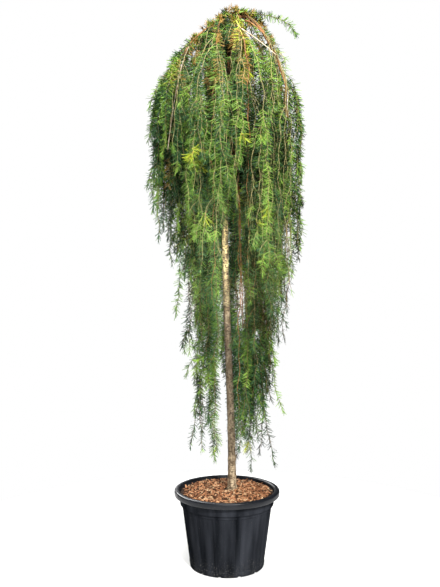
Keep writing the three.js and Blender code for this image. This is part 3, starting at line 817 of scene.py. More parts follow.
def add_twig(line, root_radius, bark, kind, bare=0.0, tip_radius=1.0):
    """Notes one twig. Its first share, bare, has few needles."""
    twigs.append(dict(line=line, root=root_radius, tip=tip_radius, bark=bark, kind=kind, bare=bare))


def of_kind(*kinds):
    """The twigs of some kinds that are noted so far."""
    return [twig for twig in twigs if twig["kind"] in kinds]


for b, lines in zip(boughs, curtains):
    stout = b["tip_radius"] > 4
    add_twig(lines[0], b["tip_radius"], "old", "stem", bare=0.3 if stout else 0.08)
    for line in lines[1:]:
        add_twig(line, 1.8, "young", "strand", bare=0.02)

TUFT_SHOOTS = 7
# Reach, azimuth, drop and bend of each shoot of the tuft, then its radius, bark, kind and bare share
shoots = []
for i in range(TUFT_SHOOTS):
    shoots.append((84, (i + 0.5) * FULL_TURN / TUFT_SHOOTS, 30, 17, 3.2, "old", "tuft", 0.7))
shoots.append((292, math.radians(-18), 122, 44, 2.2, "young", "stray", 0.3))
shoots.append((68, math.radians(-70), 270, 30, 2.6, "green", "front", 0))

tuft_foot = trunk_point(TRUNK_TIP)
tuft_head = tuft_foot + [20, 0, 39]
tuft_fork = tuft_foot + 0.75 * (tuft_head - tuft_foot)
add_twig(evenly(np.array([tuft_foot, tuft_head]), LINE_PITCH), 5, "old", "leader")
for reach, azimuth, drop, bend, radius, bark, kind, bare in shoots:
    target = tuft_fork[:2] + polar(reach, azimuth)
    add_twig(hang(tuft_fork, target, tuft_fork[2] - drop, bend, 0), radius, bark, kind, bare=bare)
print(len(twigs), "twigs that the solids have")

# %% [markdown]
# Now the rule is carried further, with a stream of random numbers for what is finer. No twig hangs quite
# straight, so lines get a slight waver. A companion is a finer strand that parts from another on its way
# down and hangs beside it. A side shoot is short and droops. Both aim no further out than the crown's
# radius.

# %% Rules for finer twigs
fine = np.random.default_rng(41)
FIRM_LENGTH = 150  # from a twig's root, where it wavers less
DOME_FOOT = 2100
FINE_VIEW_HEM, SHOOT_VIEW_HEM = 1490, 1560  # as for the strands in front of the trunk


def waver(line, most):
    """A line that strays from side to side by up to a few millimetres, more and more from its root on."""
    length = LINE_PITCH * np.arange(len(line))[:, None]
    grip = np.minimum(1, length / FIRM_LENGTH)
    strayed = line.copy()
    for wave in (fine.uniform(110, 170), fine.uniform(220, 330)):
        phase = fine.uniform(0, FULL_TURN, 2)
        strayed[:, :2] += most * grip * np.sin(FULL_TURN * length / wave + phase) / 2
    return strayed


def crown_reach(z, side=0):
    """How far out the crown reaches at a height: a round dome above, and strands that thin out below.

    The hem is higher on the left, where side is -1, and lower on the right, where it is 1.
    """
    dome = CROWN_RADIUS * np.sqrt(np.clip((DOME_TOP - 15 - z) / DOME_DEPTH, 0, 1))
    above_hem = np.clip((z + HEM_SLANT * side - HEM_LOW) / HEM_RISE, 0, 1)
    skirt = CORE_RADIUS + (CROWN_RADIUS - CORE_RADIUS) * above_hem ** (4 / 3)
    return np.minimum(dome, skirt)


def companion(line, first, last):
    """A finer strand that parts from a line and hangs beside it."""
    k = int(len(line) * fine.uniform(first, last))
    target = line[-1, :2] + polar(fine.uniform(22, 56), fine.uniform(0, FULL_TURN))
    target *= min(1, (CROWN_RADIUS - 8) / np.hypot(*target))
    end = line[-1, 2] + fine.uniform(0.02, 0.45) * (line[k, 2] - line[-1, 2])
    if hides_trunk(target):
        end = max(end, FINE_VIEW_HEM)
    bend = max(60, BEND_SHARE * np.hypot(*(target - line[k, :2])))
    return hang(line[k], target, min(end, line[k, 2] - 60), bend, fine.uniform(0, FULL_TURN))


def side_shoot(point, length, turn):
    """A short shoot that leaves a twig to one side and droops."""
    target = point[:2] + polar(fine.uniform(0.35, 0.65) * length, turn)
    most = CROWN_RADIUS
    if point[2] >= DOME_FOOT:
        most = max(crown_reach(point[2] - 0.4 * length), np.hypot(*point[:2]))
    target *= min(1, most / np.hypot(*target))
    return hang(point, target, point[2] - length * fine.uniform(0.6, 0.95), 0.45 * length, fine.uniform(0, 6))


def nearest_twig(place, *kinds):
    """The point that is nearest to a place, of all twigs of some kinds."""
    points = np.concatenate([twig["line"] for twig in of_kind(*kinds)])
    return points[np.argmin(np.linalg.norm(points - place, axis=1))]


print("the crown reaches", round(float(crown_reach(DOME_FOOT))), "mm out at the dome's foot")

# %% [markdown]
# Each strand gets four or five companions, and more where the crown is dense: at its left edge, and low down
# on both sides. A few lone strands hang clear below the crown's outline, and a few loose shoots stand off its
# left side. Then every one of these bears side shoots.

# %% Finer twigs along the strands
# A strand that ends between two widths and below a height gets some more companions, which part from it
# between two shares of its length
DENSE_PLACES = [
    ((-230, -30), 1250, 2, (0.35, 0.7)),
    ((30, 170), 950, 4, (0.5, 0.85)),
    ((-400, -150), 2500, 2, (0.15, 0.5)),
]
# Place and lowest point of each lone strand, and how far its tip leans out
LONE_STRANDS = [(-205, -60, 1130, -20), (-170, -50, 965, -20), (-135, -60, 545, -30)]
LONE_STRANDS += [(160, -80, 470, 55), (190, -60, 700, 55)]
# Where each loose shoot starts, how far left it aims and its lowest point
LOOSE_SHOOTS = [(-270, -60, 2200, -380, 2035), (-320, -30, 1985, -385, 1905)]
LOOSE_SHOOTS += [(-310, -60, 1800, -375, 1690), (-300, 40, 2080, -380, 1960)]

for twig in of_kind("stem", "strand"):
    twig["line"] = waver(twig["line"], 7)
for twig in of_kind("stem", "strand"):
    x, _, z = twig["line"][-1]
    batches = [(4 if x > 60 else 5, (0.06, 0.5))]
    for (left, right), top, count, span in DENSE_PLACES:
        if left < x < right and z < top:
            batches.append((count, span))
    for count, span in batches:
        for _ in range(count):
            add_twig(waver(companion(twig["line"], *span), 9), 1.5, "young", "fine")
for x, y, end, lean in LONE_STRANDS:
    start = nearest_twig([0.75 * x, 0.75 * y, end + 420], "stem", "strand", "fine")
    line = waver(hang(start, np.array([x, y]), end, 160, fine.uniform(0, 6)), 7)
    line[:, 0] += lean * np.linspace(0, 1, len(line)) ** 2
    add_twig(line, 1.8, "young", "fine")
for x, y, z, target_x, end in LOOSE_SHOOTS:
    start = nearest_twig([x, y, z], "stem", "strand", "fine")
    add_twig(hang(start, np.array([target_x, y]), end, 110, 0), 1.6, "young", "fine")
for twig in of_kind("stem", "strand", "fine"):
    k = int(twig["bare"] * len(twig["line"])) + fine.integers(4, 18)
    while k < len(twig["line"]) - 6:
        point = twig["line"][k]
        outward = math.atan2(point[1], point[0]) + fine.normal(0, 1.1)
        if not hides_trunk(point) or point[2] > SHOOT_VIEW_HEM:
            add_twig(side_shoot(point, fine.uniform(45, 110), outward), 1.3, "young", "shoot")
        k += fine.integers(18, 45)
print(len(twigs), "twigs with those along the strands")

# %% [markdown]
# The dome is the thickest part of the crown. Shoots of every length hang from the boughs, and the shoots of
# the tuft carry on over it. A larch also bears short spurs on its older wood, a few millimetres long, each
# with a rosette of needles. They stand up along the top of the boughs and give the dome its shaggy edge. On
# the bough in front they are lime-coloured, down to where its green shoot ends.

# %% Finer twigs over the dome
SPUR_LENGTH = 9
FRONT_BOUGH = 8


def add_spur(point, way, kind="spur", length=SPUR_LENGTH):
    """A short shoot that points one way and bears a rosette."""
    way = way / np.linalg.norm(way)
    add_twig(point + np.linspace(0, length, 3)[:, None] * way, 1.5, "old", kind)


for b in boughs[: UPPER["count"]]:
    for point in b["points"][10::3]:
        outward = b["azimuth"] + fine.normal(0, 0.9)
        if b["place"] > 0:
            add_twig(side_shoot(point, fine.uniform(80, 260), outward), 1.7, "young", "shoot")
    for point in b["points"][6::2]:
        add_spur(point, fine.normal(0, 0.55, 3) + [0, 0, 0.9])
for b in [boughs[place] for place in STOUT]:
    for point in b["points"][8::2]:
        add_spur(point, fine.normal(0, 0.4, 3) + [*polar(0.3, b["azimuth"]), 1], length=15)
front_stem = of_kind("stem")[FRONT_BOUGH]["line"][:24]
add_twig(front_stem, 4.2, "green", "front", tip_radius=2.4)
for point in [*boughs[FRONT_BOUGH]["points"][12::2], *front_stem]:
    add_spur(point, fine.normal(0, 0.7, 3) + [0, -0.2, 0], "front")
for twig in of_kind("tuft"):
    line = twig["line"]
    for point in line[4::2]:
        add_spur(point, fine.normal(0, 0.6, 3) + [0, 0, 0.4])
    for k in fine.integers(len(line) // 3, len(line), 4):
        flat = line[k, :2] - tuft_fork[:2]
        reach = fine.uniform(95, 200)
        target = tuft_fork[:2] + polar(reach, math.atan2(flat[1], flat[0]) + fine.normal(0, 0.3))
        over = hang(line[k], target, fine.uniform(1900, 2280), fine.uniform(60, 110), fine.uniform(0, 6))
        add_twig(waver(over, 6), 1.5, "young", "fine")
for twig in of_kind("stem"):
    for k in range(2, int(0.3 * len(twig["line"])), 3):
        add_spur(twig["line"][k], fine.normal(0, 0.7, 3) + [0, 0, 0.4])
print(len(twigs), "twigs with those over the dome")

# %% [markdown]
# Some twigs have no needles. Two dead ones on the dome are bleached almost white, a long reddish one hangs
# bare beside the trunk, and four thin brown ones hang in the gap next to it. Each starts from the nearest
# twig, so that it grows on something.

# %% Bare twigs
# Place, highest and lowest point of each thin brown twig
BROWN_TWIGS = [(48, -20, 1480, 1080), (66, 30, 1380, 1100), (74, -10, 1420, 1060), (88, -30, 1400, 1040)]

left_start = nearest_twig([-150, -110, 2275], "stem", "strand")
add_twig(hang(left_start, np.array([-262, -200]), 1826, 250, 0), 3.8, "bleached", "dead", tip_radius=1.4)
right_start = nearest_twig([52, -84, 2385], "stem", "front")
right_way = right_start[:2] + polar(600, math.radians(-24))
add_twig(hang(right_start, right_way, right_start[2] - 165, 420, 0), 3.0, "bleached", "dead", tip_radius=1.6)
red_start = nearest_twig([45, -55, 1900], "stem", "strand")
add_twig(hang(red_start, np.array([66, -62]), 1065, 160, 1), 4.6, "old", "dead", tip_radius=2.2)
for x, y, top, end in BROWN_TWIGS:
    start = nearest_twig([x, y, top], "stem", "strand", "fine")
    line = hang(start, np.array([x, y]), end, 90, fine.uniform(0, 6))
    add_twig(waver(line, 14), 1.8, "low", "bare")
print("bare twigs start at", left_start.round(), right_start.round(), red_start.round())

# %% [markdown]
# The newest growth is soft and lime-coloured: short shoots with long needles, on the front of the crown. One
# spot has a whole tuft of them, the others one or two. They are set on the foremost strands near each spot.

# %% New growth
# Middle and radius of each spot in the front view, and how many shoots it gets
NEW_GROWTH = [(-134, 1790, 32, 9), (66, 1865, 24, 1), (140, 1850, 22, 1), (155, 1580, 26, 2)]
NEW_GROWTH += [(104, 1500, 24, 1), (-185, 1555, 18, 1), (-100, 1555, 18, 1)]
NEW_GROWTH += [(-30, 560, 30, 1), (120, 520, 30, 1)]

strand_points = np.concatenate([twig["line"] for twig in of_kind("stem", "strand", "fine")])
for x, z, size, count in NEW_GROWTH:
    near = strand_points[np.hypot(strand_points[:, 0] - x, strand_points[:, 2] - z) < size]
    foremost = near[np.argsort(near[:, 1])][: 3 * count]
    for point in fine.permutation(foremost)[:count]:
        add_spur(point, fine.normal(0, 0.4, 3) + [0, -0.5, -1], "new", length=34)
total = sum(np.linalg.norm(np.diff(t["line"], axis=0), axis=1).sum() for t in twigs)
print(len(twigs), "twigs in all, together", round(total * MM), "m long")

# %% [markdown]
# A crown is never closed: here and there the sky shows through. Seven such openings are kept by leaving out
# what would grow across them. At three partings only the outer needles in front are left out, so the dark
# inside of the crown shows. Both are places in the front view, so points are first carried along the line
# of sight to the upright plane through the trunk. In the same way the trunk, the stout arch, the bare twigs
# and the green shoots are kept in view, by leaving out the needles right in front of them.

# %% Openings in the crown
# Ellipses in the front view: across and up to the middle, half the width and half the height
OPENINGS = [(100, 2388, 44, 48), (-146, 2292, 14, 15), (264, 2160, 15, 70)]
OPENINGS += [(272, 1450, 26, 140), (296, 1234, 40, 125), (64, 1185, 50, 165), (135, 1030, 16, 45)]
PARTINGS = [(139, 1728, 26, 170), (40, 1950, 18, 120), (-90, 2325, 34, 55)]


def from_front(points):
    """Points carried along the line of sight to the upright plane through the trunk, as width and height."""
    share = EYE_DISTANCE / (EYE_DISTANCE + points[:, 1])
    return np.stack([points[:, 0] * share, EYE_HEIGHT + (points[:, 2] - EYE_HEIGHT) * share])


def openness(points, ellipses):
    """From 0 outside to 1 in the middle of an ellipse, given by its middle and half sizes in millimetres."""
    x, z = from_front(points)
    inside = [1 - np.hypot((x - a) / half, (z - b) / tall) for a, b, half, tall in ellipses]
    return np.max(inside, axis=0).clip(0)


def hides(points, line, half):
    """Which points lie in front of a line, no further than half a width to either side of it."""
    flat, flat_line = from_front(points).T, from_front(line).T
    inside = (flat > flat_line.min(axis=0) - half) & (flat < flat_line.max(axis=0) + half)
    near = np.flatnonzero(inside.all(axis=1))
    distance = np.linalg.norm(flat[near, None] - flat_line[None], axis=2)
    in_front = points[near, 1] < line[distance.argmin(axis=1), 1] + 5
    hidden = np.zeros(len(points), bool)
    hidden[near] = in_front & (distance.min(axis=1) < half)
    return hidden


kept = [t for t in twigs if t["kind"] not in ("fine", "shoot") or openness(t["line"], OPENINGS).mean() < 0.15]
print(len(twigs) - len(kept), "twigs left out for", len(OPENINGS), "openings")
twigs = kept

# Lines that are kept in view, each with half the width that is kept
arch_stem = of_kind("stem")[0]["line"]
in_view = [(evenly(boughs[0]["points"][12:], 6), 12), (arch_stem[: len(arch_stem) // 3], 11)]
in_view += [(trunk_point(np.arange(1080.0, 1490, 8)), 13), (trunk_point(np.arange(2110.0, 2320, 8)), 7)]
in_view += [(t["line"], 7) for t in of_kind("dead", "front") if len(t["line"]) > 4]
print(len(in_view), "lines kept in view")

# %% [markdown]
# Every twig becomes a tube of four sides, joined with the others of the same bark. Frames along the line
# give each ring its two directions across. The ends are closed, so the tubes are solid. Young bark is
# straw-coloured on the lit outside of the crown; inside it and low down, young twigs get the brown bark as
# painted shade. So a long outer strand is split at the height where its painted shade begins.


# %% Twigs as tubes
def frames(line):
    """Directions along a line, across it round the crown, and across it away from the trunk."""
    along = np.gradient(line, axis=0)
    along /= np.linalg.norm(along, axis=1, keepdims=True)
    helper = line * [1, 1, 0] / np.maximum(1, np.hypot(line[:, 0], line[:, 1]))[:, None] + [0, 0, 0.6]
    across = np.cross(along, helper)
    across /= np.linalg.norm(across, axis=1, keepdims=True)
    return along, across, np.cross(along, across)


def tube(line, root_radius, tip_radius):
    """Corners and faces of one tapering tube of four sides with closed ends."""
    _, across, beside = frames(line)
    radius = np.linspace(root_radius, tip_radius, len(line))[:, None]
    sides = [across * radius, beside * radius, -across * radius, -beside * radius]
    corners = np.stack([line + side for side in sides], 1)
    ring = np.arange(4)
    step = 4 * np.arange(len(line) - 1)[:, None]
    turned_on = (ring + 1) % 4
    quads = np.stack([step + ring, step + turned_on, step + 4 + turned_on, step + 4 + ring], -1)
    last = 4 * (len(line) - 1)
    ends = [[3, 2, 1, 0], [last, last + 1, last + 2, last + 3]]
    return corners.reshape(-1, 3), np.concatenate([quads.reshape(-1, 4), ends])


SHADED_BELOW, TREE_TOP = 1350, 2510  # heights in millimetres
TUBE_PITCH = 24
foliage_nodes = [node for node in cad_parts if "_curtain_" in node or node == "leader_tuft"]


def join_twigs(bark, chosen):
    """One piece from all the twigs that have one kind of bark."""
    corners, faces, count = [], [], 0
    for line, root_radius, tip_radius in chosen:
        some_corners, some_faces = tube(evenly(line, TUBE_PITCH), root_radius, tip_radius)
        corners.append(some_corners)
        faces.append(some_faces + count)
        count += len(some_corners)
    piece = mesh_from_arrays(f"twigs_{bark}", np.concatenate(corners), np.concatenate(faces))
    piece.data.shade_smooth()
    settle(piece, twig_barks[bark], "bough_bark", *foliage_nodes)


tubes = {bark: [] for bark in twig_barks}
for twig in twigs:
    line, root_radius, tip_radius = twig["line"], twig["root"], twig["tip"]
    # Young twigs inside the crown, and the outer ones below a height, get the brown bark as painted shade
    lit = np.hypot(line[-1, 0], line[-1, 1]) > 0.7 * crown_reach(max(line[-1, 2], SHADED_BELOW))
    above = len(line)
    if twig["bark"] == "young":
        above = int((line[:, 2] > (SHADED_BELOW if lit else TREE_TOP)).sum())
    middle_radius = root_radius + (tip_radius - root_radius) * above / len(line)
    if above > 2:
        tubes[twig["bark"]].append((line[:above], root_radius, middle_radius))
    if len(line) - above > 2:
        tubes["low"].append((line[max(0, above - 1) :], middle_radius, tip_radius))
for bark, chosen in tubes.items():
    join_twigs(bark, chosen)

# %% [markdown]
# Larch needles are soft, flat and about 30 mm long. Their colour depends on age: mid green over most of
# the crown, yellow-green at the tips, lime on the newest growth, bronze where a spray has dried. The very
# dark tint inside the crown is painted shade, and the blue-green at its sides and low down is partly their
# colour and partly painted shade. Most of a spray has one tint, so each tint is a material of its own and
# gets the needles of the sprays that are dealt to it. The waxy surface gives a soft shine.

# %% Needle tints
WAXY = dict(grain=18, detail=2, fineness=0.5, spread=0.15, bump=0, roughness=0.5)
SHINE = 0.25  # less in the shade

TINTS = ["shade", "deep", "mid", "fresh", "lime", "bronze"]
LAST_GREEN = 3  # of the tints, up to which they go from dark to light
needle_tints = {
    "shade": two_tones("larch_needles_shaded", "#16210e", "#202f16", shine=0.05, **WAXY),
    "deep": two_tones("larch_needles_blue_green", "#29462a", "#3b5b34", shine=0.15, **WAXY),
    "mid": two_tones("larch_needles_green", "#4a6a25", "#5f812c", shine=SHINE, **WAXY),
    "fresh": two_tones("larch_needles_yellow_green", "#6a9034", "#84a440", shine=SHINE, **WAXY),
    "lime": two_tones("larch_needles_lime", "#889722", "#a6ae2e", shine=SHINE, **WAXY),
    "bronze": two_tones("larch_needles_bronze", "#8a6a33", "#a3803f", shine=SHINE, **WAXY),
}
print(len(needle_tints), "needle tints")

# %% [markdown]
# Which tint a spray gets is a matter of chance, weighted by where it hangs: the inside, both flanks and
# the low strands get darker tints as painted shade, the tips and the dome are lighter, and the top is
# browned. Each twig also has a lean of its own to the dark or the light side, so neighbouring strands can
# be told apart.

# %% Deal the tints
DRY_SPOT = (-235, 1790, 40)  # middle and radius in the front view
LEFT_FLANK, RIGHT_FLANK = -180, 90
INSIDE, NEAR_INSIDE = 0.7, 0.88  # shares of the crown's reach
HALF_SHADE, DOME_LIGHT, TOP_BROWN = 1100, 2150, 2270  # heights
USUAL_WEIGHTS = [0.05, 0.42, 0.42, 0.09, 0.01, 0]
ROSETTE_WEIGHTS = [0.16, 0.08, 0.06, 0.12, 0.1, 0.48]
LIME_WEIGHTS = [0, 0, 0, 0.2, 0.8, 0]
KIND_WEIGHTS = {"stray": [0.1, 0.6, 0.3, 0, 0, 0], "front": LIME_WEIGHTS, "new": LIME_WEIGHTS}
KIND_WEIGHTS |= {kind: ROSETTE_WEIGHTS for kind in ("leader", "tuft", "spur")}


def weights_by_place(x, y, z):
    """How likely each tint is for a spray of a strand that hangs somewhere."""
    weights = np.array(USUAL_WEIGHTS)
    from_axis = max(1, math.hypot(x, y))
    depth = from_axis / max(60, crown_reach(z, x / from_axis))
    if z > SHADED_BELOW:  # in the closed crown the inside is in deep shade
        weights[0] += 3 * (depth < INSIDE) + 1.1 * (depth < NEAR_INSIDE)
    else:  # below it the strands are in half shade, more so on the right
        weights[:2] += [0.8, 0.7] if x > 20 else [0.4, 0.1]
    # Both flanks get darker tints as painted shade
    if x > RIGHT_FLANK:
        weights[:2] += [0.6, 0.2]
    weights[1] += 0.5 * (x < LEFT_FLANK / 3) + 0.6 * (x < LEFT_FLANK)
    weights[1] += 0.6 * (depth < INSIDE) + 0.9 * (z < HALF_SHADE)
    if z > DOME_LIGHT and depth > 0.6:  # the dome is lighter, and browned in places
        weights[3:] += [0.3, 0.08, 0.32]
    if z > TOP_BROWN and depth > 0.6:
        weights += [0.4, 0, 0, 0, 0.06, 0.9]
    return weights


def tint_weights(point, share, kind, tone):
    """How likely each tint is for a spray at a point, a share of the way along its twig."""
    x, y, z = point
    weights = np.array(KIND_WEIGHTS[kind]) if kind in KIND_WEIGHTS else weights_by_place(x, y, z)
    weights[3] += 0.2 * (share > 0.85)
    weights[4] += 0.05 * (share > 0.93)
    if y < 0 and math.hypot(x - DRY_SPOT[0], z - DRY_SPOT[1]) < DRY_SPOT[2]:
        weights[5] += 0.4
    weights[:4] *= np.exp(tone * np.array([-1.2, -1, 0, 1]))
    return weights / weights.sum()


print("half way down the left:", dict(zip(TINTS, tint_weights((-200, 0, 1500), 0.5, "strand", 0).round(2))))

# %% [markdown]
# A needle is a flat blade with a blunt tip. Four faces are enough for that: two corners at the root and two
# at the tip, with opposite corners a little higher than the others, so that the blade has some thickness.
# On a hanging strand most needles stand to the left and the right, like the barbs of a feather, and some to
# the front or the back. Rosettes have them all round, and more of them. Needles lean towards the tip of
# their twig, more so at its end, where the brush closes. They are drawn wider than life, because the tree
# has fewer of them than a real one, and widest inside the crown and at its edges, where gaps would show
# most.

# %% Shape of the needles
ROOT_HALF, TIP_HALF, THICK_HALF = 1.1, 0.65, 0.2  # half the width at both ends, half the thickness
EDGE_WIDER, INNER_WIDER = 1.5, 1.35
SAG = 2  # of a needle's tip


def widening(place):
    """How much wider than usual the needles round a place are drawn."""
    from_axis = max(1, np.hypot(*place[:2]))
    reach = crown_reach(place[2], place[0] / from_axis)
    if abs(place[0]) > 0.8 * reach:
        return EDGE_WIDER
    return INNER_WIDER if from_axis < INSIDE * reach else 1


def blades(root, way, out, length, wide):
    """The four corners of each needle, from its root, direction and length and the way out from its twig."""
    round_twig = np.cross(way, out)
    round_twig /= np.linalg.norm(round_twig, axis=1, keepdims=True)
    roll = fine.normal(math.pi / 2, 0.8, len(root))[:, None]
    side = round_twig * np.cos(roll) + np.cross(round_twig, way) * np.sin(roll)
    up = THICK_HALF * np.cross(side, way)
    tip = root + way * length[:, None] - [0, 0, SAG]
    corners = [root - wide * ROOT_HALF * side + up, root + wide * ROOT_HALF * side - up]
    corners += [tip + wide * TIP_HALF * side + up, tip - wide * TIP_HALF * side - up]
    return np.stack(corners, 1)


print("needles are", 2 * ROOT_HALF, "mm wide at the root and", 2 * TIP_HALF, "at the tip")

# %% [markdown]
# All needles of a twig are worked out at once, as arrays. First its sprays get their tints and their vigour,
# then every whorl gets its needles. At last a quarter of the green needles get the next darker or lighter
# tint, so that sprays don't look painted.

# %% Needles along the twigs
WHORL_PITCH, ROSETTE_PITCH = 7, 4.5
SPRAY_LENGTH = 120
TONE_SPREAD = 1.15  # how much twigs differ in light and dark
USUAL_NEEDLES = (68, 22, 32)  # lean from the twig in degrees, shortest and longest in millimetres
OTHER_NEEDLES = {"spur": (45, 24, 38), "leader": (40, 24, 34), "tuft": (55, 22, 30), "new": (58, 34, 46)}
ROSETTES = ("spur", "leader", "tuft", "front")
PER_WHORL = {"stray": 6, "spur": 6, "leader": 6, "tuft": 5}
USUAL_WHORL = 3
KEPT, KEPT_BARE = 0.94, 0.1  # shares of needles that grow, the second on a twig's bare part
TURN_SPREAD, LEAN_SPREAD = 0.45, 8  # round the twig in radians, and away from it in degrees
STRAYS = 0.25  # share of the green needles that get the next tint
TIP_LEAN, CLOSING_LENGTH = 26, 50  # degrees, and millimetres from the tip, where the brush closes


def deal_sprays(twig, line, share, pitch):
    """The spray that each point of a twig's line is in, and the tint and the vigour of each spray."""
    sprays = (np.arange(len(line)) * pitch / SPRAY_LENGTH).astype(int)
    firsts = [np.argmax(sprays == s) for s in range(sprays[-1] + 1)]
    tone = fine.normal(0, TONE_SPREAD)
    dealt = [fine.choice(len(TINTS), p=tint_weights(line[k], share[k], twig["kind"], tone)) for k in firsts]
    return sprays, np.array(dealt), fine.uniform(0.85, 1.1, len(firsts))


def needles(twig):
    """Corners of all needles of a twig, four for each, and the tint of each needle."""
    usual_lean, shortest, longest = OTHER_NEEDLES.get(twig["kind"], USUAL_NEEDLES)
    rosette = twig["kind"] in ROSETTES
    pitch = ROSETTE_PITCH if rosette else WHORL_PITCH
    line = evenly(twig["line"], pitch)
    along, across, beside = frames(line)
    share = np.linspace(0, 1, len(line))
    sprays, dealt, vigour = deal_sprays(twig, line, share, pitch)
    middle = line[len(line) // 2]
    per_whorl = PER_WHORL.get(twig["kind"], USUAL_WHORL) + (middle[0] < LEFT_FLANK)
    whorl = np.repeat(np.arange(len(line)), per_whorl)
    rank = np.tile(np.arange(per_whorl), len(line))
    keep = fine.random(len(whorl)) < np.where(share[whorl] < twig["bare"], KEPT_BARE, KEPT)
    whorl, rank = whorl[keep], rank[keep]
    count = len(whorl)
    all_round = fine.uniform(0, FULL_TURN, count)
    two_ranked = rank * math.pi + fine.normal(0, TURN_SPREAD, count)
    turn = np.where((rank < 2) & (not rosette), two_ranked, all_round)[:, None]
    closing = np.clip((1 - share[whorl]) * len(line) * pitch / CLOSING_LENGTH, 0, 1)
    lean = TIP_LEAN + (usual_lean - TIP_LEAN) * closing + fine.normal(0, LEAN_SPREAD, count)
    lean = np.radians(lean)[:, None]
    out = across[whorl] * np.cos(turn) + beside[whorl] * np.sin(turn)
    way = along[whorl] * np.cos(lean) + out * np.sin(lean)
    length = fine.uniform(shortest, longest, count) * vigour[sprays[whorl]] * (0.75 + 0.25 * closing)
    ahead = pitch * (0.5 * rank - 0.5 + fine.uniform(-0.2, 0.2, count))
    root = line[whorl] + along[whorl] * ahead[:, None]
    corners = blades(root, way, out, length, widening(middle))
    strays = fine.random(count) < STRAYS
    tint = dealt[sprays[whorl]]
    next_tint = np.clip(tint[strays] + fine.choice([-1, 1], strays.sum()), 0, LAST_GREEN)
    tint[strays] = np.where(tint[strays] > LAST_GREEN, tint[strays], next_tint)
    return corners, tint


grown = [needles(twig) for twig in twigs if twig["kind"] not in ("dead", "bare")]
corners = np.concatenate([g[0] for g in grown])
tints = np.concatenate([g[1] for g in grown])
print(len(corners), "needles on", len(grown), "twigs")

# %% [markdown]
# Not all of these needles can stay. Some would stick in the trunk or in the mulch, some would close the
# openings and partings, and some would hide what is kept in view. An opening is thinned out more and more
# towards its middle, but never quite empty, as in a real crown.

# %% Needles left out
MOST_LEFT_OUT = 0.8

tip = corners[:, 2:].mean(axis=1)
from_trunk = np.hypot(*(tip - trunk_point(tip[:, 2]))[:, :2].T)
clear = from_trunk > trunk_radius(np.clip(tip[:, 2], TRUNK_FOOT, TRUNK_TIP)) + 1
clear |= tip[:, 2] > TRUNK_TIP
clear &= tip[:, 2] > mulch_height(np.hypot(tip[:, 0], tip[:, 1])) + 4
middle = corners.mean(axis=1)
open_share = np.maximum(openness(tip, OPENINGS), openness(middle, OPENINGS))
outer = (tip[:, 1] < 0) & (np.hypot(tip[:, 0], tip[:, 1]) > 0.6 * crown_reach(tip[:, 2]))
open_share = np.maximum(open_share, outer * openness(tip, PARTINGS))
clear &= np.minimum(MOST_LEFT_OUT, 1.2 * open_share) < fine.uniform(0.05, 1, len(tip))
for line, half in in_view:
    clear &= ~hides(tip, line, half) & ~hides(middle, line, half)
corners, tints = corners[clear], tints[clear]
print(len(corners), "needles:", {name: int((tints == k).sum()) for k, name in enumerate(TINTS)})

# %% [markdown]
# More than a hundred thousand separate objects would bring Blender to a halt, so the needles of
# one tint are joined. A piece is kept under 200,000 triangles, and a tint that needs more is split into
# several.

# %% Needles as joined pieces
NEEDLE_FACES = np.array([[0, 1, 2], [0, 2, 3], [0, 3, 1], [1, 3, 2]])
MOST_NEEDLES = 49000  # four triangles each

for k, name in enumerate(TINTS):
    own = corners[tints == k]
    for part, first in enumerate(range(0, len(own), MOST_NEEDLES), 1):
        some = own[first : first + MOST_NEEDLES]
        faces = NEEDLE_FACES[None] + 4 * np.arange(len(some))[:, None, None]
        piece = mesh_from_arrays(f"needles_{name}_{part}", some.reshape(-1, 3), faces.reshape(-1, 3))
        slot = "young_needles" if name in ("fresh", "lime") else "needles"
        settle(piece, needle_tints[name], slot, *foliage_nodes)

# %% [markdown]
# The studio has a wide pale floor, a white surround and five soft lights. The key light stands to the front
# right and above, and a weak one in front fills its shadows. A narrow beam reaches the trunk between the
# strands, one light overhead brings out the dome, and one behind on the left shows the tree's other sides.
# The surround is white where it is seen, but gives hardly any light, or the shadows would wash out.

# %% Floor, lights and surround
# The floor is painted lighter towards its edge, where the lights fall off: that is painted light
FLOOR_NEAR, FLOOR_EDGE_PAINTED_LIGHTER = "#eeeeec", "#fafafa"

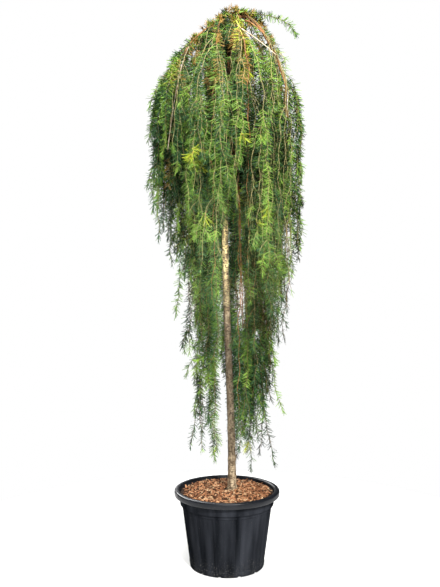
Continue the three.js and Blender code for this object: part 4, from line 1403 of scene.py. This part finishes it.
floor_paint, place = new_material("floor_paint_matt_pale")
reach = add_node(floor_paint, "VectorMath", {0: place}, operation="LENGTH")
far = add_node(floor_paint, "MapRange", {"Value": reach, "From Min": 0.5, "From Max": 1.5})
tone = add_node(
    floor_paint, "Mix", {FACTOR: far, FIRST: linear(FLOOR_NEAR), SECOND: linear(FLOOR_EDGE_PAINTED_LIGHTER)}, data_type="RGBA"
)
finish_material(floor_paint, Base_Color=tone, Roughness=0.9, Specular_IOR_Level=0.1)
bpy.ops.object.select_all(action="DESELECT")
bpy.ops.mesh.primitive_circle_add(vertices=96, radius=1.6, fill_type="NGON", location=(0, 0, -0.001))
floor = bpy.context.object
floor.name = "studio_floor"
bpy.ops.object.transform_apply()
floor.data.materials.append(floor_paint)


def soft_light(name, place, aim, size, power, spread=180):
    """A square light at a place, turned to what it lights. A small spread, in degrees, makes it a beam."""
    bpy.ops.object.light_add(type="AREA", location=place)
    light = bpy.context.object
    light.name = name
    light.data.size = size
    light.data.energy = power
    light.data.spread = math.radians(spread)
    light.rotation_euler = (Vector(aim) - Vector(place)).to_track_quat("-Z", "Y").to_euler()


soft_light("key_light", (1.5, -4.0, 3.6), (0, 0, 1.4), 0.8, 500)
soft_light("front_light", (-0.3, -4.6, 2.2), (0, 0, 1.2), 1.4, 80)
soft_light("trunk_light", (0, -4.6, 1.45), (0, 0, 1.35), 0.3, 1.3, spread=7)
soft_light("top_light", (-0.6, -0.9, 4.6), (0, 0, 0), 2.0, 180)
soft_light("back_light", (-1.8, 3.6, 3.4), (0, 0, 1.4), 2.0, 260)

world = bpy.data.worlds.new("white_surround")
world.use_nodes = True
world.node_tree.nodes.clear()
seen = add_node(world, "LightPath").outputs["Is Camera Ray"]
strength = add_node(world, "MapRange", {"Value": seen, "To Min": 0.02, "To Max": 1})
surround = add_node(world, "Background", {"Color": (1, 1, 1, 1), "Strength": strength})
add_node(world, "OutputWorld", {"Surface": surround})
bpy.context.scene.world = world
bpy.context.scene.view_settings.view_transform = "Standard"
print("studio ready")
